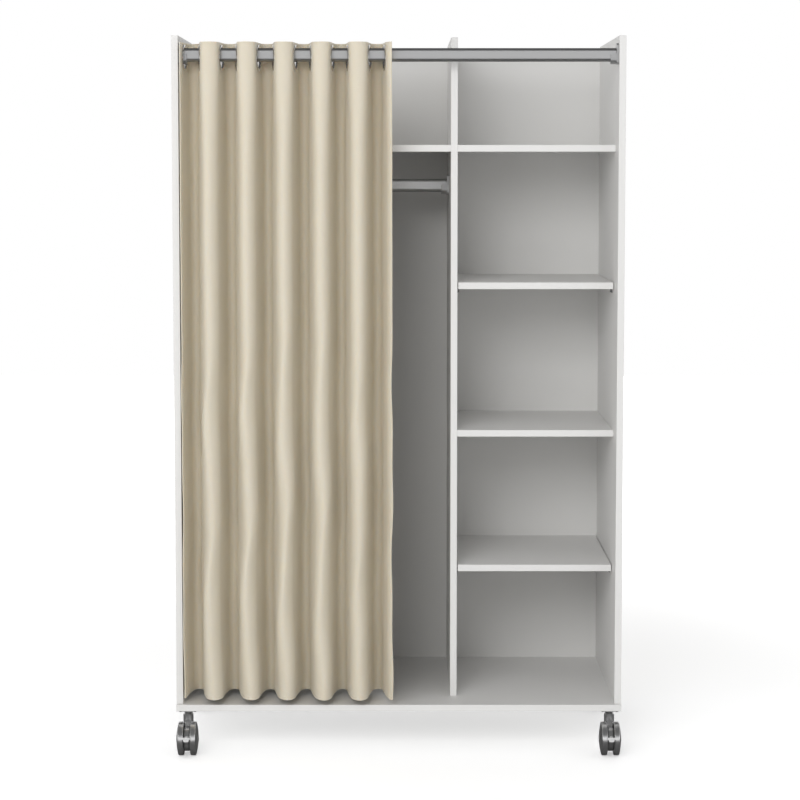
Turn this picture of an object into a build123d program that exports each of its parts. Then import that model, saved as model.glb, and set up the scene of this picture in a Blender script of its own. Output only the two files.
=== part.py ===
from build123d import *
import math
import os

# Open wardrobe on castors with an eyelet curtain, in millimetres.
# X runs along the width, the open front faces -Y and Z points up from the floor.
# The origin is on the floor under the middle of the whole object.

# Carcass of faced board
overall_width = 1000.0
board = 15.0
side_height = 1492.0
side_depth = 487.0
bottom_overhang = 10.0
right_bay_width = 353.0
panel_edge_radius = 0.8

# Upper faces of the shelves, above the upper face of the bottom panel
lower_shelf_height = 303.0
middle_shelf_height = 611.0
upper_shelf_height = 945.0
top_shelf_height = 1253.0
adjustable_end_gap = 2.0

# Back sheets and their nails
back_thickness = 3.0
back_drop = 10.0
back_seam_gap = 1.0
nail_radius = 0.7
nail_length = 20.0
nail_head_radius = 1.8
nail_head_height = 0.5
nail_upright_shares = (0.03, 0.19, 0.35, 0.51, 0.67, 0.83, 0.97)
nail_left_row_shares = (0.2, 0.4, 0.6, 0.8)
nail_right_row_shares = (0.3, 0.7)

# Dowels, cam fittings and long screws that join the boards
dowel_radius = 4.0
dowel_length = 30.0
dowel_in_panel = 10.0
dowel_chamfer = 1.0
cam_lock_radius = 7.5
cam_lock_height = 12.5
cam_lock_setback = 24.0
cam_slot_width = 2.0
cam_slot_depth = 1.5
cam_slot_length = 9.0
cam_bolt_radius = 3.0
cam_bolt_in_panel = 10.5
cam_bolt_neck_radius = 2.0
cam_bolt_head_radius = 3.4
cam_bolt_head_height = 3.0
cam_bolt_bore_radius = 4.0
joint_screw_radius = 2.5
joint_screw_length = 50.0
joint_screw_head_radius = 5.0
joint_screw_head_height = 4.0
joint_screw_socket_width = 4.0
joint_screw_socket_depth = 2.5
upright_screw_shares = (0.2, 0.8)
upright_dowel_shares = (0.36, 0.64)
left_cam_shares = (0.2, 0.8)
left_dowel_shares = (0.42, 0.58)
right_cam_shares = (0.28, 0.72)
right_dowel_shares = (0.36, 0.64)

# Shelf pins
pin_inset = 50.0
pin_peg_radius = 2.5
pin_peg_length = 8.0
pin_body_reach = 5.0
pin_body_width = 8.0
pin_body_height = 11.0
pin_toe_height = 9.0
pin_edge_radius = 0.8

# Oval rails and their end brackets
rail_height = 30.0
rail_depth = 15.0
rail_wall = 1.2
rail_setback = 24.0
curtain_rail_drop = 42.0
hanging_rail_drop = 77.0
rail_end_gap = 0.5
rail_cup_clearance = 0.15
cup_wall = 2.4
cup_floor = 5.2
cup_length = 18.0
cup_rise = 4.0
cup_corner_radius = 4.5
cup_edge_radius = 1.0
flange_height = 46.0
flange_depth = 22.0
flange_thickness = 5.0
flange_rise = 2.3
flange_corner_radius = 5.0
flange_screw_rise = 17.0
flange_screw_low = 6.0
bracket_screw_radius = 1.75
bracket_screw_length = 14.0
bracket_screw_head_radius = 3.4
bracket_screw_head_height = 2.0
bracket_screw_cross_width = 1.0
bracket_screw_cross_depth = 1.0

# Curtain cloth and its folds
eyelet_count = 12
eyelet_gap_front = 47.2
eyelet_gap_behind = 34.4
first_eyelet_inset = 11.6
cloth_thickness = 1.0
fold_reach = 50.0
flank_lean = 6.5
fold_clearance = 2.5
left_hem_turn = 22.0
right_hem_turn = 60.0
cloth_above_eyelet = 34.0
hem_clearance = 17.0

# Eyelets: a front half with a barrel and a back half, clamped through the cloth
eyelet_hole_radius = 22.5
eyelet_outer_radius = 29.0
eyelet_barrel_wall = 1.2
eyelet_flange = 2.2
eyelet_rim = 0.7
eyelet_lip = 1.3
eyelet_pinch_gap = 0.1
eyelet_halves_gap = 0.1
eyelet_cloth_gap = 0.5
hang_gap = 0.3

# Castors with twin wheels
castor_height = 99.0
castor_inset_x = 25.0
castor_inset_y = 26.0
castor_trail = 25.0
wheel_radius = 37.5
tread_width = 12.5
tread_shoulder = 2.0
wheel_dome = 4.4
wheel_gap = 15.0
wheel_rim = 4.0
wheel_boss_radius = 9.0
wheel_recess_depth = 7.5
axle_radius = 4.0
axle_end_gap = 1.0
axle_in_wheel = 11.0
web_thickness = 12.0
web_radius = 28.0
web_edge_radius = 2.0
wheel_clearance = 1.3
neck_radius = 11.4
neck_skirt = 14.0
neck_shoulder_width = 4.0
neck_shoulder_height = 6.0
swivel_gap = 0.5
collar_radius = 7.0
collar_height = 2.6
kingpin_radius = 4.0
kingpin_length = 32.0
plate_width = 42.0
plate_thickness = 2.0
plate_corner_radius = 5.0
plate_hole_spacing = 32.0
plate_screw_radius = 2.0
plate_screw_length = 14.0
plate_screw_head_radius = 4.0
plate_screw_head_height = 1.9
plate_screw_cross_width = 1.2
plate_screw_cross_depth = 1.0
plate_screw_dome_share = 0.8

# Brake lever of a front castor
brake_pivot_reach = 18.0
brake_pivot_rise = 9.0
brake_stem_width = 6.0
brake_stem_height = 5.0
brake_slot_side_gap = 0.5
brake_slot_room = 6.5
brake_slot_drop = 4.0
brake_slot_top_gap = 1.2
brake_trunnion_radius = 1.5
brake_trunnion_length = 11.4
brake_pedal_width = 17.7
brake_pedal_height = 4.7
brake_pedal_depth = 4.0
brake_pedal_gap = 1.2
brake_pedal_edge = 1.2

# Shared clearances and the overrun of cuts
running_clearance = 0.1
bore_clearance = 0.1
overrun = 2.0

# Places along X
left_inner_x = -overall_width / 2 + board
right_inner_x = overall_width / 2 - board
divider_right_x = right_inner_x - right_bay_width
divider_left_x = divider_right_x - board
divider_x = divider_right_x - board / 2

# Places along Y: the front edge of the sides is set so that the whole object is centred
swivel_setback = castor_inset_y - bottom_overhang
pedal_reach = wheel_radius + brake_pedal_gap + brake_pedal_depth
front_reach = max(castor_trail + pedal_reach - swivel_setback, bottom_overhang)
rear_reach = side_depth + back_thickness + nail_head_height
side_front_y = (front_reach - rear_reach) / 2
side_back_y = side_front_y + side_depth
rail_y = side_front_y + rail_setback
shelf_setback = rail_setback + fold_reach + cloth_thickness / 2 + fold_clearance
shelf_front_y = side_front_y + shelf_setback
shelf_depth = side_back_y - shelf_front_y
hanging_rail_y = shelf_front_y + shelf_depth / 2

# Places along Z
bottom_z = castor_height
floor_z = castor_height + board
side_top_z = floor_z + side_height
curtain_rail_z = side_top_z - curtain_rail_drop
top_shelf_under_z = floor_z + top_shelf_height - board
hanging_rail_z = top_shelf_under_z - hanging_rail_drop
eyelet_z = curtain_rail_z + rail_height / 2 + hang_gap - eyelet_hole_radius
cloth_top_z = eyelet_z + cloth_above_eyelet
hem_z = floor_z + hem_clearance

# Eyelets stand in pairs: the cloth folds behind the rail within a pair, and in front between pairs
lean = math.radians(flank_lean)
first_eyelet_x = left_inner_x + first_eyelet_inset
eyelet_xs = [
    first_eyelet_x + k // 2 * (eyelet_gap_behind + eyelet_gap_front) + k % 2 * eyelet_gap_behind
    for k in range(eyelet_count)
]

# Swivel axes of the castors
castor_left_x = -overall_width / 2 + castor_inset_x
castor_right_x = overall_width / 2 - castor_inset_x
castor_front_y = side_front_y + swivel_setback
castor_rear_y = side_back_y - castor_inset_y

pieces = {}
bores = {}


def add_piece(name, *solids):
    """Adds solids to the node of that name."""
    pieces.setdefault(name, []).extend(solids)


def add_bores(name, *cutters):
    """Notes what is drilled or cut out of a board once every fitting is known."""
    bores.setdefault(name, []).extend(cutters)


def rod(start, direction, radius, length):
    """A plain cylinder from a point along a direction."""
    centred_on_start = (Align.CENTER, Align.CENTER, Align.MIN)
    return Plane(origin=start, z_dir=direction) * Cylinder(radius, length, align=centred_on_start)


def block(low, high):
    """A box between two opposite corners."""
    size = [b - a for a, b in zip(low, high)]
    return Pos(*low) * Box(*size, align=(Align.MIN, Align.MIN, Align.MIN))


def rounded_board(low, high):
    """A board with its edges eased."""
    plain = block(low, high)
    return fillet(plain.edges(), panel_edge_radius)


def turned(outline):
    """Turns a closed outline, drawn as radius and height, about Z."""
    return revolve(Plane.XZ * make_face(outline), axis=Axis.Z)


def put(shape, origin, direction):
    """Sets a shape made along Z at a point, with its Z along a direction."""
    return Plane(origin=origin, z_dir=direction) * shape


def span(low, high, share):
    """The place at a share of the way between two places."""
    return low + (high - low) * share


def main_boards():
    """Bottom, sides and divider."""
    half = overall_width / 2
    add_piece("bottom_panel", rounded_board(
        (-half, side_front_y - bottom_overhang, bottom_z), (half, side_back_y, floor_z)))
    add_piece("side_panel_left", rounded_board(
        (-half, side_front_y, floor_z), (left_inner_x, side_back_y, side_top_z)))
    add_piece("side_panel_right", rounded_board(
        (right_inner_x, side_front_y, floor_z), (half, side_back_y, side_top_z)))
    add_piece("divider_panel", rounded_board(
        (divider_left_x, shelf_front_y, floor_z), (divider_right_x, side_back_y, side_top_z)))


def shelf(name, low_x, high_x, height):
    """One shelf whose upper face is at a height above the bottom panel."""
    top = floor_z + height
    add_piece(name, rounded_board((low_x, shelf_front_y, top - board), (high_x, side_back_y, top)))


def shelves():
    """Two top shelves, the fixed middle shelf and two adjustable ones."""
    shelf("top_shelf_left", left_inner_x, divider_left_x, top_shelf_height)
    shelf("top_shelf_right", divider_right_x, right_inner_x, top_shelf_height)
    shelf("fixed_shelf_middle", divider_right_x, right_inner_x, middle_shelf_height)
    low_x = divider_right_x + adjustable_end_gap
    high_x = right_inner_x - adjustable_end_gap
    shelf("adjustable_shelf_upper", low_x, high_x, upper_shelf_height)
    shelf("adjustable_shelf_lower", low_x, high_x, lower_shelf_height)


def back_sheets():
    """Two thin sheets behind the boards, with a seam behind the divider."""
    half = overall_width / 2
    top = side_top_z - back_drop
    rear = side_back_y + back_thickness
    left_end = divider_x - back_seam_gap / 2
    right_end = divider_x + back_seam_gap / 2
    add_piece("back_sheet_left", block((-half, side_back_y, bottom_z), (left_end, rear, top)))
    add_piece("back_sheet_right", block((right_end, side_back_y, bottom_z), (half, rear, top)))


def nail_at(x, z, sheet, boards):
    """A nail through a back sheet into the rear edge of a board."""
    face = (x, side_back_y + back_thickness, z)
    head = rod(face, (0, 1, 0), nail_head_radius, nail_head_height)
    shank = rod(face, (0, -1, 0), nail_radius, nail_length)
    add_piece("back_nails", head + shank)
    hole = rod((x, side_back_y + back_thickness + overrun, z), (0, -1, 0),
               nail_radius + bore_clearance, nail_length + overrun * 2)
    for name in (sheet, *boards):
        add_bores(name, hole)


def back_nails():
    """Rows of nails along the uprights, the bottom panel and the top shelves."""
    quarter = board / 4
    uprights = (
        (-overall_width / 2 + board / 2, "back_sheet_left", "side_panel_left"),
        (divider_x - quarter, "back_sheet_left", "divider_panel"),
        (divider_x + quarter, "back_sheet_right", "divider_panel"),
        (overall_width / 2 - board / 2, "back_sheet_right", "side_panel_right"),
    )
    for x, sheet, upright in uprights:
        for share in nail_upright_shares:
            nail_at(x, span(floor_z, side_top_z - back_drop, share), sheet, [upright])
    for share in nail_left_row_shares:
        x = span(left_inner_x, divider_left_x, share)
        nail_at(x, bottom_z + board / 2, "back_sheet_left", ["bottom_panel"])
        nail_at(x, top_shelf_under_z + board / 2, "back_sheet_left", ["top_shelf_left"])
    for share in nail_right_row_shares:
        x = span(divider_right_x, right_inner_x, share)
        nail_at(x, bottom_z + board / 2, "back_sheet_right", ["bottom_panel"])
        nail_at(x, top_shelf_under_z + board / 2, "back_sheet_right", ["top_shelf_right"])


def countersunk_screw(radius, length, head_radius, head_height):
    """A countersunk screw with its head's face at zero and its tip up along Z."""
    tip = radius
    outline = Polyline(
        (0, 0), (head_radius, 0), (radius, head_height), (radius, length - tip), (0, length),
        close=True)
    return turned(outline)


def countersunk_hole(radius, length, head_radius, head_height):
    """The room for a countersunk screw, a clearance larger all round."""
    wide = head_radius + bore_clearance
    narrow = radius + bore_clearance
    outline = Polyline(
        (0, -overrun), (wide, -overrun), (wide, 0), (narrow, head_height),
        (narrow, length + bore_clearance), (0, length + bore_clearance), close=True)
    return turned(outline)


def cross_recess(width, depth, reach):
    """A cross for a screwdriver, cut into a screw head from zero up along Z."""
    arm = Box(reach * 2, width, depth + overrun, align=(Align.CENTER, Align.CENTER, Align.MAX))
    sunk = Pos(0, 0, depth) * arm
    return sunk + Rot(0, 0, 90) * sunk


def joint_screws_and_dowels():
    """Long screws and dowels up through the bottom panel into each upright."""
    plain = countersunk_screw(
        joint_screw_radius, joint_screw_length, joint_screw_head_radius, joint_screw_head_height)
    socket = extrude(RegularPolygon(joint_screw_socket_width / 2, 6), joint_screw_socket_depth)
    screw = plain - socket
    hole = countersunk_hole(
        joint_screw_radius, joint_screw_length, joint_screw_head_radius, joint_screw_head_height)
    uprights = (
        ("side_panel_left", -overall_width / 2 + board / 2, side_front_y),
        ("divider_panel", divider_x, shelf_front_y),
        ("side_panel_right", overall_width / 2 - board / 2, side_front_y),
    )
    for name, x, front in uprights:
        for share in upright_screw_shares:
            place = (x, span(front, side_back_y, share), bottom_z)
            add_piece("joint_screws", put(screw, place, (0, 0, 1)))
            add_bores("bottom_panel", put(hole, place, (0, 0, 1)))
            add_bores(name, put(hole, place, (0, 0, 1)))
        for share in upright_dowel_shares:
            dowel_at((x, span(front, side_back_y, share), floor_z), (0, 0, 1),
                     "bottom_panel", name)


def dowel_at(face_point, direction, panel, other):
    """A dowel across a joint; it stands in the panel and runs on into the other board."""
    start = Vector(*face_point) - Vector(*direction) * dowel_in_panel
    shape = chamfer(rod(start, direction, dowel_radius, dowel_length).edges(), dowel_chamfer)
    add_piece("wood_dowels", shape)
    hole_start = start - Vector(*direction) * bore_clearance
    hole = rod(hole_start, direction, dowel_radius + bore_clearance,
               dowel_length + bore_clearance * 2)
    add_bores(panel, hole)
    add_bores(other, hole)


def cam_fitting_at(face_x, inward, y, shelf_top, panel, shelf_name):
    """A bolt in a panel and a round lock in the shelf that draws the bolt's head in."""
    z = shelf_top - board / 2
    face = (face_x, y, z)
    into_shelf = (inward, 0, 0)
    into_panel = (-inward, 0, 0)
    head_end = cam_lock_setback + cam_bolt_head_height / 2
    neck_end = head_end - cam_bolt_head_height
    bolt = (
        rod(face, into_panel, cam_bolt_radius, cam_bolt_in_panel)
        + rod(face, into_shelf, cam_bolt_neck_radius, head_end)
        + rod((face_x + inward * neck_end, y, z), into_shelf, cam_bolt_head_radius,
              cam_bolt_head_height)
    )
    lock_x = face_x + inward * cam_lock_setback
    shelf_under = shelf_top - board
    slot_half = cam_bolt_head_radius + bore_clearance * 2
    lock = rod((lock_x, y, shelf_under), (0, 0, 1), cam_lock_radius, cam_lock_height)
    slot_back = lock_x + inward * (cam_bolt_head_height / 2 + overrun)
    slot_mouth = lock_x - inward * (cam_lock_radius + overrun)
    lock -= block(
        (min(slot_back, slot_mouth), y - slot_half, z - slot_half),
        (max(slot_back, slot_mouth), y + slot_half, z + slot_half))
    drive = cross_recess(cam_slot_width, cam_slot_depth, cam_slot_length / 2)
    lock -= Pos(lock_x, y, shelf_under) * drive
    add_piece("cam_fittings", bolt, lock)
    add_bores(panel, rod((face_x + inward * overrun, y, z), into_panel,
                         cam_bolt_radius + bore_clearance,
                         cam_bolt_in_panel + overrun + bore_clearance))
    add_bores(shelf_name, rod((face_x - inward * overrun, y, z), into_shelf,
                              cam_bolt_bore_radius, cam_lock_setback + overrun))
    add_bores(shelf_name, rod((lock_x, y, shelf_under - overrun), (0, 0, 1),
                              cam_lock_radius + bore_clearance,
                              cam_lock_height + overrun + bore_clearance))


def fixed_shelf_joints():
    """Cam fittings and dowels at both ends of each fixed shelf."""
    fixed = (
        ("top_shelf_left", top_shelf_height, left_inner_x, "side_panel_left",
         divider_left_x, "divider_panel", left_cam_shares, left_dowel_shares),
        ("top_shelf_right", top_shelf_height, divider_right_x, "divider_panel",
         right_inner_x, "side_panel_right", right_cam_shares, right_dowel_shares),
        ("fixed_shelf_middle", middle_shelf_height, divider_right_x, "divider_panel",
         right_inner_x, "side_panel_right", right_cam_shares, right_dowel_shares),
    )
    for name, height, low_x, low_panel, high_x, high_panel, cam_shares, dowel_shares in fixed:
        top = floor_z + height
        for x, inward, panel in ((low_x, 1, low_panel), (high_x, -1, high_panel)):
            for share in cam_shares:
                y = span(shelf_front_y, side_back_y, share)
                cam_fitting_at(x, inward, y, top, panel, name)
            for share in dowel_shares:
                y = span(shelf_front_y, side_back_y, share)
                dowel_at((x, y, top - board / 2), (inward, 0, 0), panel, name)


def shelf_pin_at(face_x, inward, y, shelf_under):
    """A pin under an adjustable shelf: a peg in the panel and a body that the shelf rests on."""
    half = pin_body_width / 2
    outline = Polyline(
        (0, 0), (pin_body_reach, 0), (pin_body_reach, -pin_toe_height), (0, -pin_body_height),
        close=True)
    body = extrude(Plane.XZ * make_face(outline), half, both=True)
    long_edges = body.edges().filter_by(Axis.Y).group_by(Axis.X)[-1]
    body = fillet(long_edges, pin_edge_radius)
    peg = rod((0, 0, -pin_body_height / 2), (-1, 0, 0), pin_peg_radius, pin_peg_length)
    pin = body + peg
    if inward < 0:
        pin = pin.rotate(Axis.Z, 180)
    add_piece("shelf_pins", Pos(face_x, y, shelf_under) * pin)
    peg_start = (face_x + inward * overrun, y, shelf_under - pin_body_height / 2)
    return rod(peg_start, (-inward, 0, 0), pin_peg_radius + bore_clearance,
               pin_peg_length + overrun + bore_clearance)


def shelf_pins():
    """Four pins under each adjustable shelf."""
    for height in (lower_shelf_height, upper_shelf_height):
        under = floor_z + height - board
        for y in (shelf_front_y + pin_inset, side_back_y - pin_inset):
            add_bores("divider_panel", shelf_pin_at(divider_right_x, 1, y, under))
            add_bores("side_panel_right", shelf_pin_at(right_inner_x, -1, y, under))


def oval(height, depth):
    """An upright oval in the YZ plane: two straight sides between two half circles."""
    return Plane.YZ * SlotOverall(height, depth, rotation=90)


def oval_rail(name, low_x, high_x, y, z):
    """A straight oval tube between two panels, a gap short of each end bracket."""
    start = low_x + flange_thickness + rail_end_gap
    length = high_x - flange_thickness - rail_end_gap - start
    outer = oval(rail_height, rail_depth)
    inner = oval(rail_height - rail_wall * 2, rail_depth - rail_wall * 2)
    add_piece(name, Pos(start, y, z) * extrude(outer - inner, length))


def cup_opening():
    """What is cut off the top of a cup: all above the front wall, with a round at its free end."""
    width = flange_depth
    top = cup_rise + flange_height
    corner = cup_rise - cup_corner_radius
    start = cup_length - cup_corner_radius
    bend = cup_corner_radius * (1 - math.sqrt(0.5))
    outline = Curve() + [
        Polyline((cup_length + overrun, corner), (cup_length, corner)),
        ThreePointArc((cup_length, corner), (cup_length - bend, cup_rise - bend),
                      (start, cup_rise)),
        Polyline((start, cup_rise), (-overrun, cup_rise), (-overrun, top),
                 (cup_length + overrun, top), (cup_length + overrun, corner)),
    ]
    return extrude(Plane.XZ * make_face(outline), width, both=True)


def rail_bracket(name, panel, face_x, inward, y, z):
    """An end bracket: a screwed flange, and a cup open at its top that the rail drops into."""
    flange = extrude(
        Plane.YZ * Pos(0, flange_rise)
        * RectangleRounded(flange_depth, flange_height, flange_corner_radius),
        flange_thickness)
    cup_inner_height = rail_height + rail_cup_clearance * 2
    cup_inner_depth = rail_depth + rail_cup_clearance * 2
    cup = extrude(oval(cup_inner_height + cup_floor * 2, cup_inner_depth + cup_wall * 2), cup_length)
    cup = fillet(cup.faces().sort_by(Axis.X)[-1].edges(), cup_edge_radius)
    cup -= Pos(-overrun, 0, 0) * extrude(
        oval(cup_inner_height, cup_inner_depth), cup_length + overrun * 2)
    cup -= cup_opening()
    bracket = flange + cup
    hole = countersunk_hole(bracket_screw_radius, bracket_screw_length,
                            bracket_screw_head_radius, bracket_screw_head_height)
    screw = countersunk_screw(bracket_screw_radius, bracket_screw_length,
                              bracket_screw_head_radius, bracket_screw_head_height)
    screw -= cross_recess(bracket_screw_cross_width, bracket_screw_cross_depth,
                          bracket_screw_head_radius / 2)
    for rise in (flange_rise + flange_screw_rise, -flange_screw_low):
        place = (flange_thickness, 0, rise)
        bracket -= put(hole, place, (-1, 0, 0))
        seat = (face_x + inward * flange_thickness, y, z + rise)
        add_piece("bracket_screws", put(screw, seat, (-inward, 0, 0)))
        add_bores(panel, put(hole, seat, (-inward, 0, 0)))
    if inward < 0:
        bracket = bracket.rotate(Axis.Z, 180)
    add_piece(name, Pos(face_x, y, z) * bracket)


def rails():
    """The curtain rail across the front and the hanging rail in the left bay."""
    oval_rail("curtain_rail", left_inner_x, right_inner_x, rail_y, curtain_rail_z)
    rail_bracket("curtain_rail_bracket_left", "side_panel_left", left_inner_x, 1,
                 rail_y, curtain_rail_z)
    rail_bracket("curtain_rail_bracket_right", "side_panel_right", right_inner_x, -1,
                 rail_y, curtain_rail_z)
    oval_rail("hanging_rail", left_inner_x, divider_left_x, hanging_rail_y, hanging_rail_z)
    rail_bracket("hanging_rail_bracket_left", "side_panel_left", left_inner_x, 1,
                 hanging_rail_y, hanging_rail_z)
    rail_bracket("hanging_rail_bracket_right", "divider_panel", divider_left_x, -1,
                 hanging_rail_y, hanging_rail_z)


def goes_back(k):
    """True where the cloth runs from the front to the back through that eyelet."""
    return k % 2 == 0


def face_normal(k):
    """The direction that the face side of the cloth looks in at an eyelet."""
    across = 1 if goes_back(k) else -1
    return (across * math.cos(lean), -math.sin(lean), 0)


def fold_radius(gap):
    """Radius of the round fold between two flanks that are a gap apart at the rail."""
    return (gap / 2 * math.cos(lean) - fold_reach * math.sin(lean)) / (1 - math.sin(lean))


def flank_length(gap):
    """Length of the straight flank from its eyelet to the fold over that gap."""
    return gap / 2 * math.sin(lean) + (fold_reach - fold_radius(gap)) * math.cos(lean)


def flank_ends(k, offset):
    """Both ends of the straight flank at an eyelet, moved by an offset to the face side."""
    gaps = (eyelet_gap_front, eyelet_gap_behind)
    along = 1 if goes_back(k) else -1
    before, after = (flank_length(gap) for gap in gaps[::along])
    direction = Vector(math.sin(lean), along * math.cos(lean), 0)
    middle = Vector(eyelet_xs[k], rail_y, 0) + Vector(*face_normal(k)) * offset
    return middle - direction * before, middle + direction * after


def loop_arc(k, offset):
    """The round fold from one eyelet's flank to the next one's."""
    side = 1 if goes_back(k) else -1
    crest = Vector((eyelet_xs[k] + eyelet_xs[k + 1]) / 2, rail_y + side * fold_reach - offset, 0)
    return ThreePointArc(flank_ends(k, offset)[1], crest, flank_ends(k + 1, offset)[0])


def hem_arc(centre_x, offset, angle_from, angle_to):
    """The short arc that ends the cloth in front of the rail, at one of its side hems."""
    radius = fold_radius(eyelet_gap_front) + offset
    centre = Vector(centre_x, rail_y - fold_reach + fold_radius(eyelet_gap_front), 0)
    points = []
    for angle in (angle_from, (angle_from + angle_to) / 2, angle_to):
        turn = math.radians(angle)
        points.append(centre + Vector(math.cos(turn), math.sin(turn), 0) * radius)
    return points


def cloth_edge(offset):
    """One side of the cloth seen from above, as points and edges from left hem to right hem."""
    edges = []
    first_centre = eyelet_xs[0] - eyelet_gap_front / 2
    left = hem_arc(first_centre, offset, -flank_lean - left_hem_turn, -flank_lean)
    edges.append(ThreePointArc(left[0], left[1], flank_ends(0, offset)[0]))
    for k in range(eyelet_count):
        start, end = flank_ends(k, offset)
        edges.append(Line(start, end))
        if k + 1 < eyelet_count:
            edges.append(loop_arc(k, offset))
    last = eyelet_count - 1
    last_centre = eyelet_xs[last] + eyelet_gap_front / 2
    start_angle = 180 + flank_lean
    right = hem_arc(last_centre, offset, start_angle, start_angle + right_hem_turn)
    edges.append(ThreePointArc(flank_ends(last, offset)[1], right[1], right[2]))
    return left[0], edges, right[2]


def curtain():
    """The folded cloth, with a hole at each flank, and the eyelets that hang it on the rail."""
    half = cloth_thickness / 2
    face_start, face_edges, face_end = cloth_edge(half)
    rear_start, rear_edges, rear_end = cloth_edge(-half)
    ends = [Line(face_end, rear_end), Line(rear_start, face_start)]
    outline = make_face(Curve() + face_edges + rear_edges + ends)
    cloth = Pos(0, 0, hem_z) * extrude(outline, cloth_top_z - hem_z)
    hole_radius = eyelet_hole_radius + eyelet_barrel_wall + eyelet_cloth_gap
    front_half, back_half = eyelet_halves()
    holes = []
    for k, x in enumerate(eyelet_xs):
        normal = face_normal(k)
        centre = Vector(x, rail_y, eyelet_z)
        start = centre - Vector(*normal) * (half + overrun)
        holes.append(rod(start, normal, hole_radius, (half + overrun) * 2))
        add_piece(f"eyelet_{k + 1:02d}", put(front_half, centre, normal),
                  put(back_half, centre, normal))
    add_piece("curtain_cloth", cloth - holes)


def eyelet_halves():
    """Front half with its barrel, and back half, about Z with the cloth's middle at zero."""
    face = cloth_thickness / 2 + eyelet_pinch_gap
    crown = face + eyelet_flange
    lip = face + eyelet_lip
    rim = face + eyelet_rim
    barrel_outer = eyelet_hole_radius + eyelet_barrel_wall
    middle_radius = (eyelet_hole_radius + eyelet_outer_radius) / 2
    front_outline = Curve() + [
        Line((eyelet_hole_radius, -lip), (eyelet_hole_radius, lip)),
        ThreePointArc((eyelet_hole_radius, lip), (middle_radius, crown), (eyelet_outer_radius, rim)),
        Polyline((eyelet_outer_radius, rim), (eyelet_outer_radius, face), (barrel_outer, face),
                 (barrel_outer, -lip), (eyelet_hole_radius, -lip)),
    ]
    back_inner = barrel_outer + eyelet_halves_gap
    back_middle = (back_inner + eyelet_outer_radius) / 2
    back_outline = Curve() + [
        Polyline((back_inner, -lip), (back_inner, -face), (eyelet_outer_radius, -face),
                 (eyelet_outer_radius, -rim)),
        ThreePointArc((eyelet_outer_radius, -rim), (back_middle, -crown), (back_inner, -lip)),
    ]
    return turned(front_outline), turned(back_outline)


def castor_plate():
    """Top plate with its collar and kingpin, about the swivel axis with the floor at zero."""
    top = castor_height
    under = top - plate_thickness
    plate = Pos(0, 0, under) * extrude(
        RectangleRounded(plate_width, plate_width, plate_corner_radius), plate_thickness)
    collar = rod((0, 0, under), (0, 0, -1), collar_radius, collar_height)
    kingpin = rod((0, 0, under), (0, 0, -1), kingpin_radius, collar_height + kingpin_length)
    holes = [
        rod((x, y, under - overrun), (0, 0, 1), plate_screw_radius + bore_clearance,
            plate_thickness + overrun * 2)
        for x, y in plate_hole_places()
    ]
    return plate + collar + kingpin - holes


def plate_hole_places():
    """The four screw places of a castor plate, from its middle."""
    reach = plate_hole_spacing / 2
    return [(x, y) for x in (-reach, reach) for y in (-reach, reach)]


def castor_housing(with_brake):
    """Neck and web between the wheels, bored for kingpin and axle."""
    axle_y = -castor_trail
    axle_z = wheel_radius
    neck_top = castor_height - plate_thickness - collar_height - swivel_gap
    neck_bottom = neck_top - kingpin_length
    web = rod((-web_thickness / 2, axle_y, axle_z), (1, 0, 0), web_radius, web_thickness)
    web = fillet(web.edges().filter_by(GeomType.CIRCLE), web_edge_radius)
    shoulder_z = axle_z + web_radius
    shoulder = Polyline(
        (axle_y, shoulder_z), (-neck_radius, shoulder_z + neck_radius),
        (neck_radius, shoulder_z + neck_radius), (neck_radius, neck_bottom - kingpin_radius),
        (axle_y + web_radius, axle_z), (axle_y, axle_z), close=True)
    bridge = extrude(Plane.YZ * make_face(shoulder), web_thickness / 2, both=True)
    neck = rod((0, 0, neck_top - kingpin_length + neck_skirt / 2), (0, 0, 1), neck_radius,
               kingpin_length - neck_skirt / 2)
    neck = chamfer(neck.edges().group_by(Axis.Z)[-1], neck_shoulder_height, neck_shoulder_width,
                   reference=neck.faces().filter_by(GeomType.CYLINDER)[0])
    for side in (-1, 1):
        start = (side * web_thickness / 2, axle_y, axle_z)
        neck -= rod(start, (side, 0, 0), wheel_radius + wheel_clearance, neck_radius * 2)
    housing = web + bridge + neck
    housing -= rod((0, 0, neck_top + overrun), (0, 0, -1), kingpin_radius + running_clearance,
                   kingpin_length + overrun + bore_clearance)
    housing -= rod((-web_thickness, axle_y, axle_z), (1, 0, 0), axle_radius + bore_clearance / 2,
                   web_thickness * 2)
    if with_brake:
        housing -= brake_slot()
    return housing


def brake_slot():
    """The slot for the brake lever at the front of the web, and the bore of its trunnions."""
    axle_z = wheel_radius
    half = brake_stem_width / 2 + brake_slot_side_gap
    back = -castor_trail - brake_pivot_reach + brake_slot_room
    front = -castor_trail - web_radius - overrun
    pivot_z = axle_z + brake_pivot_rise
    low = pivot_z - brake_stem_height / 2 - brake_slot_drop
    high = pivot_z + brake_stem_height / 2 + brake_slot_top_gap
    slot = block((-half, front, low), (half, back, high))
    bore = rod((-web_thickness, -castor_trail - brake_pivot_reach, pivot_z), (1, 0, 0),
               brake_trunnion_radius + running_clearance, web_thickness * 2)
    return slot + bore


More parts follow.
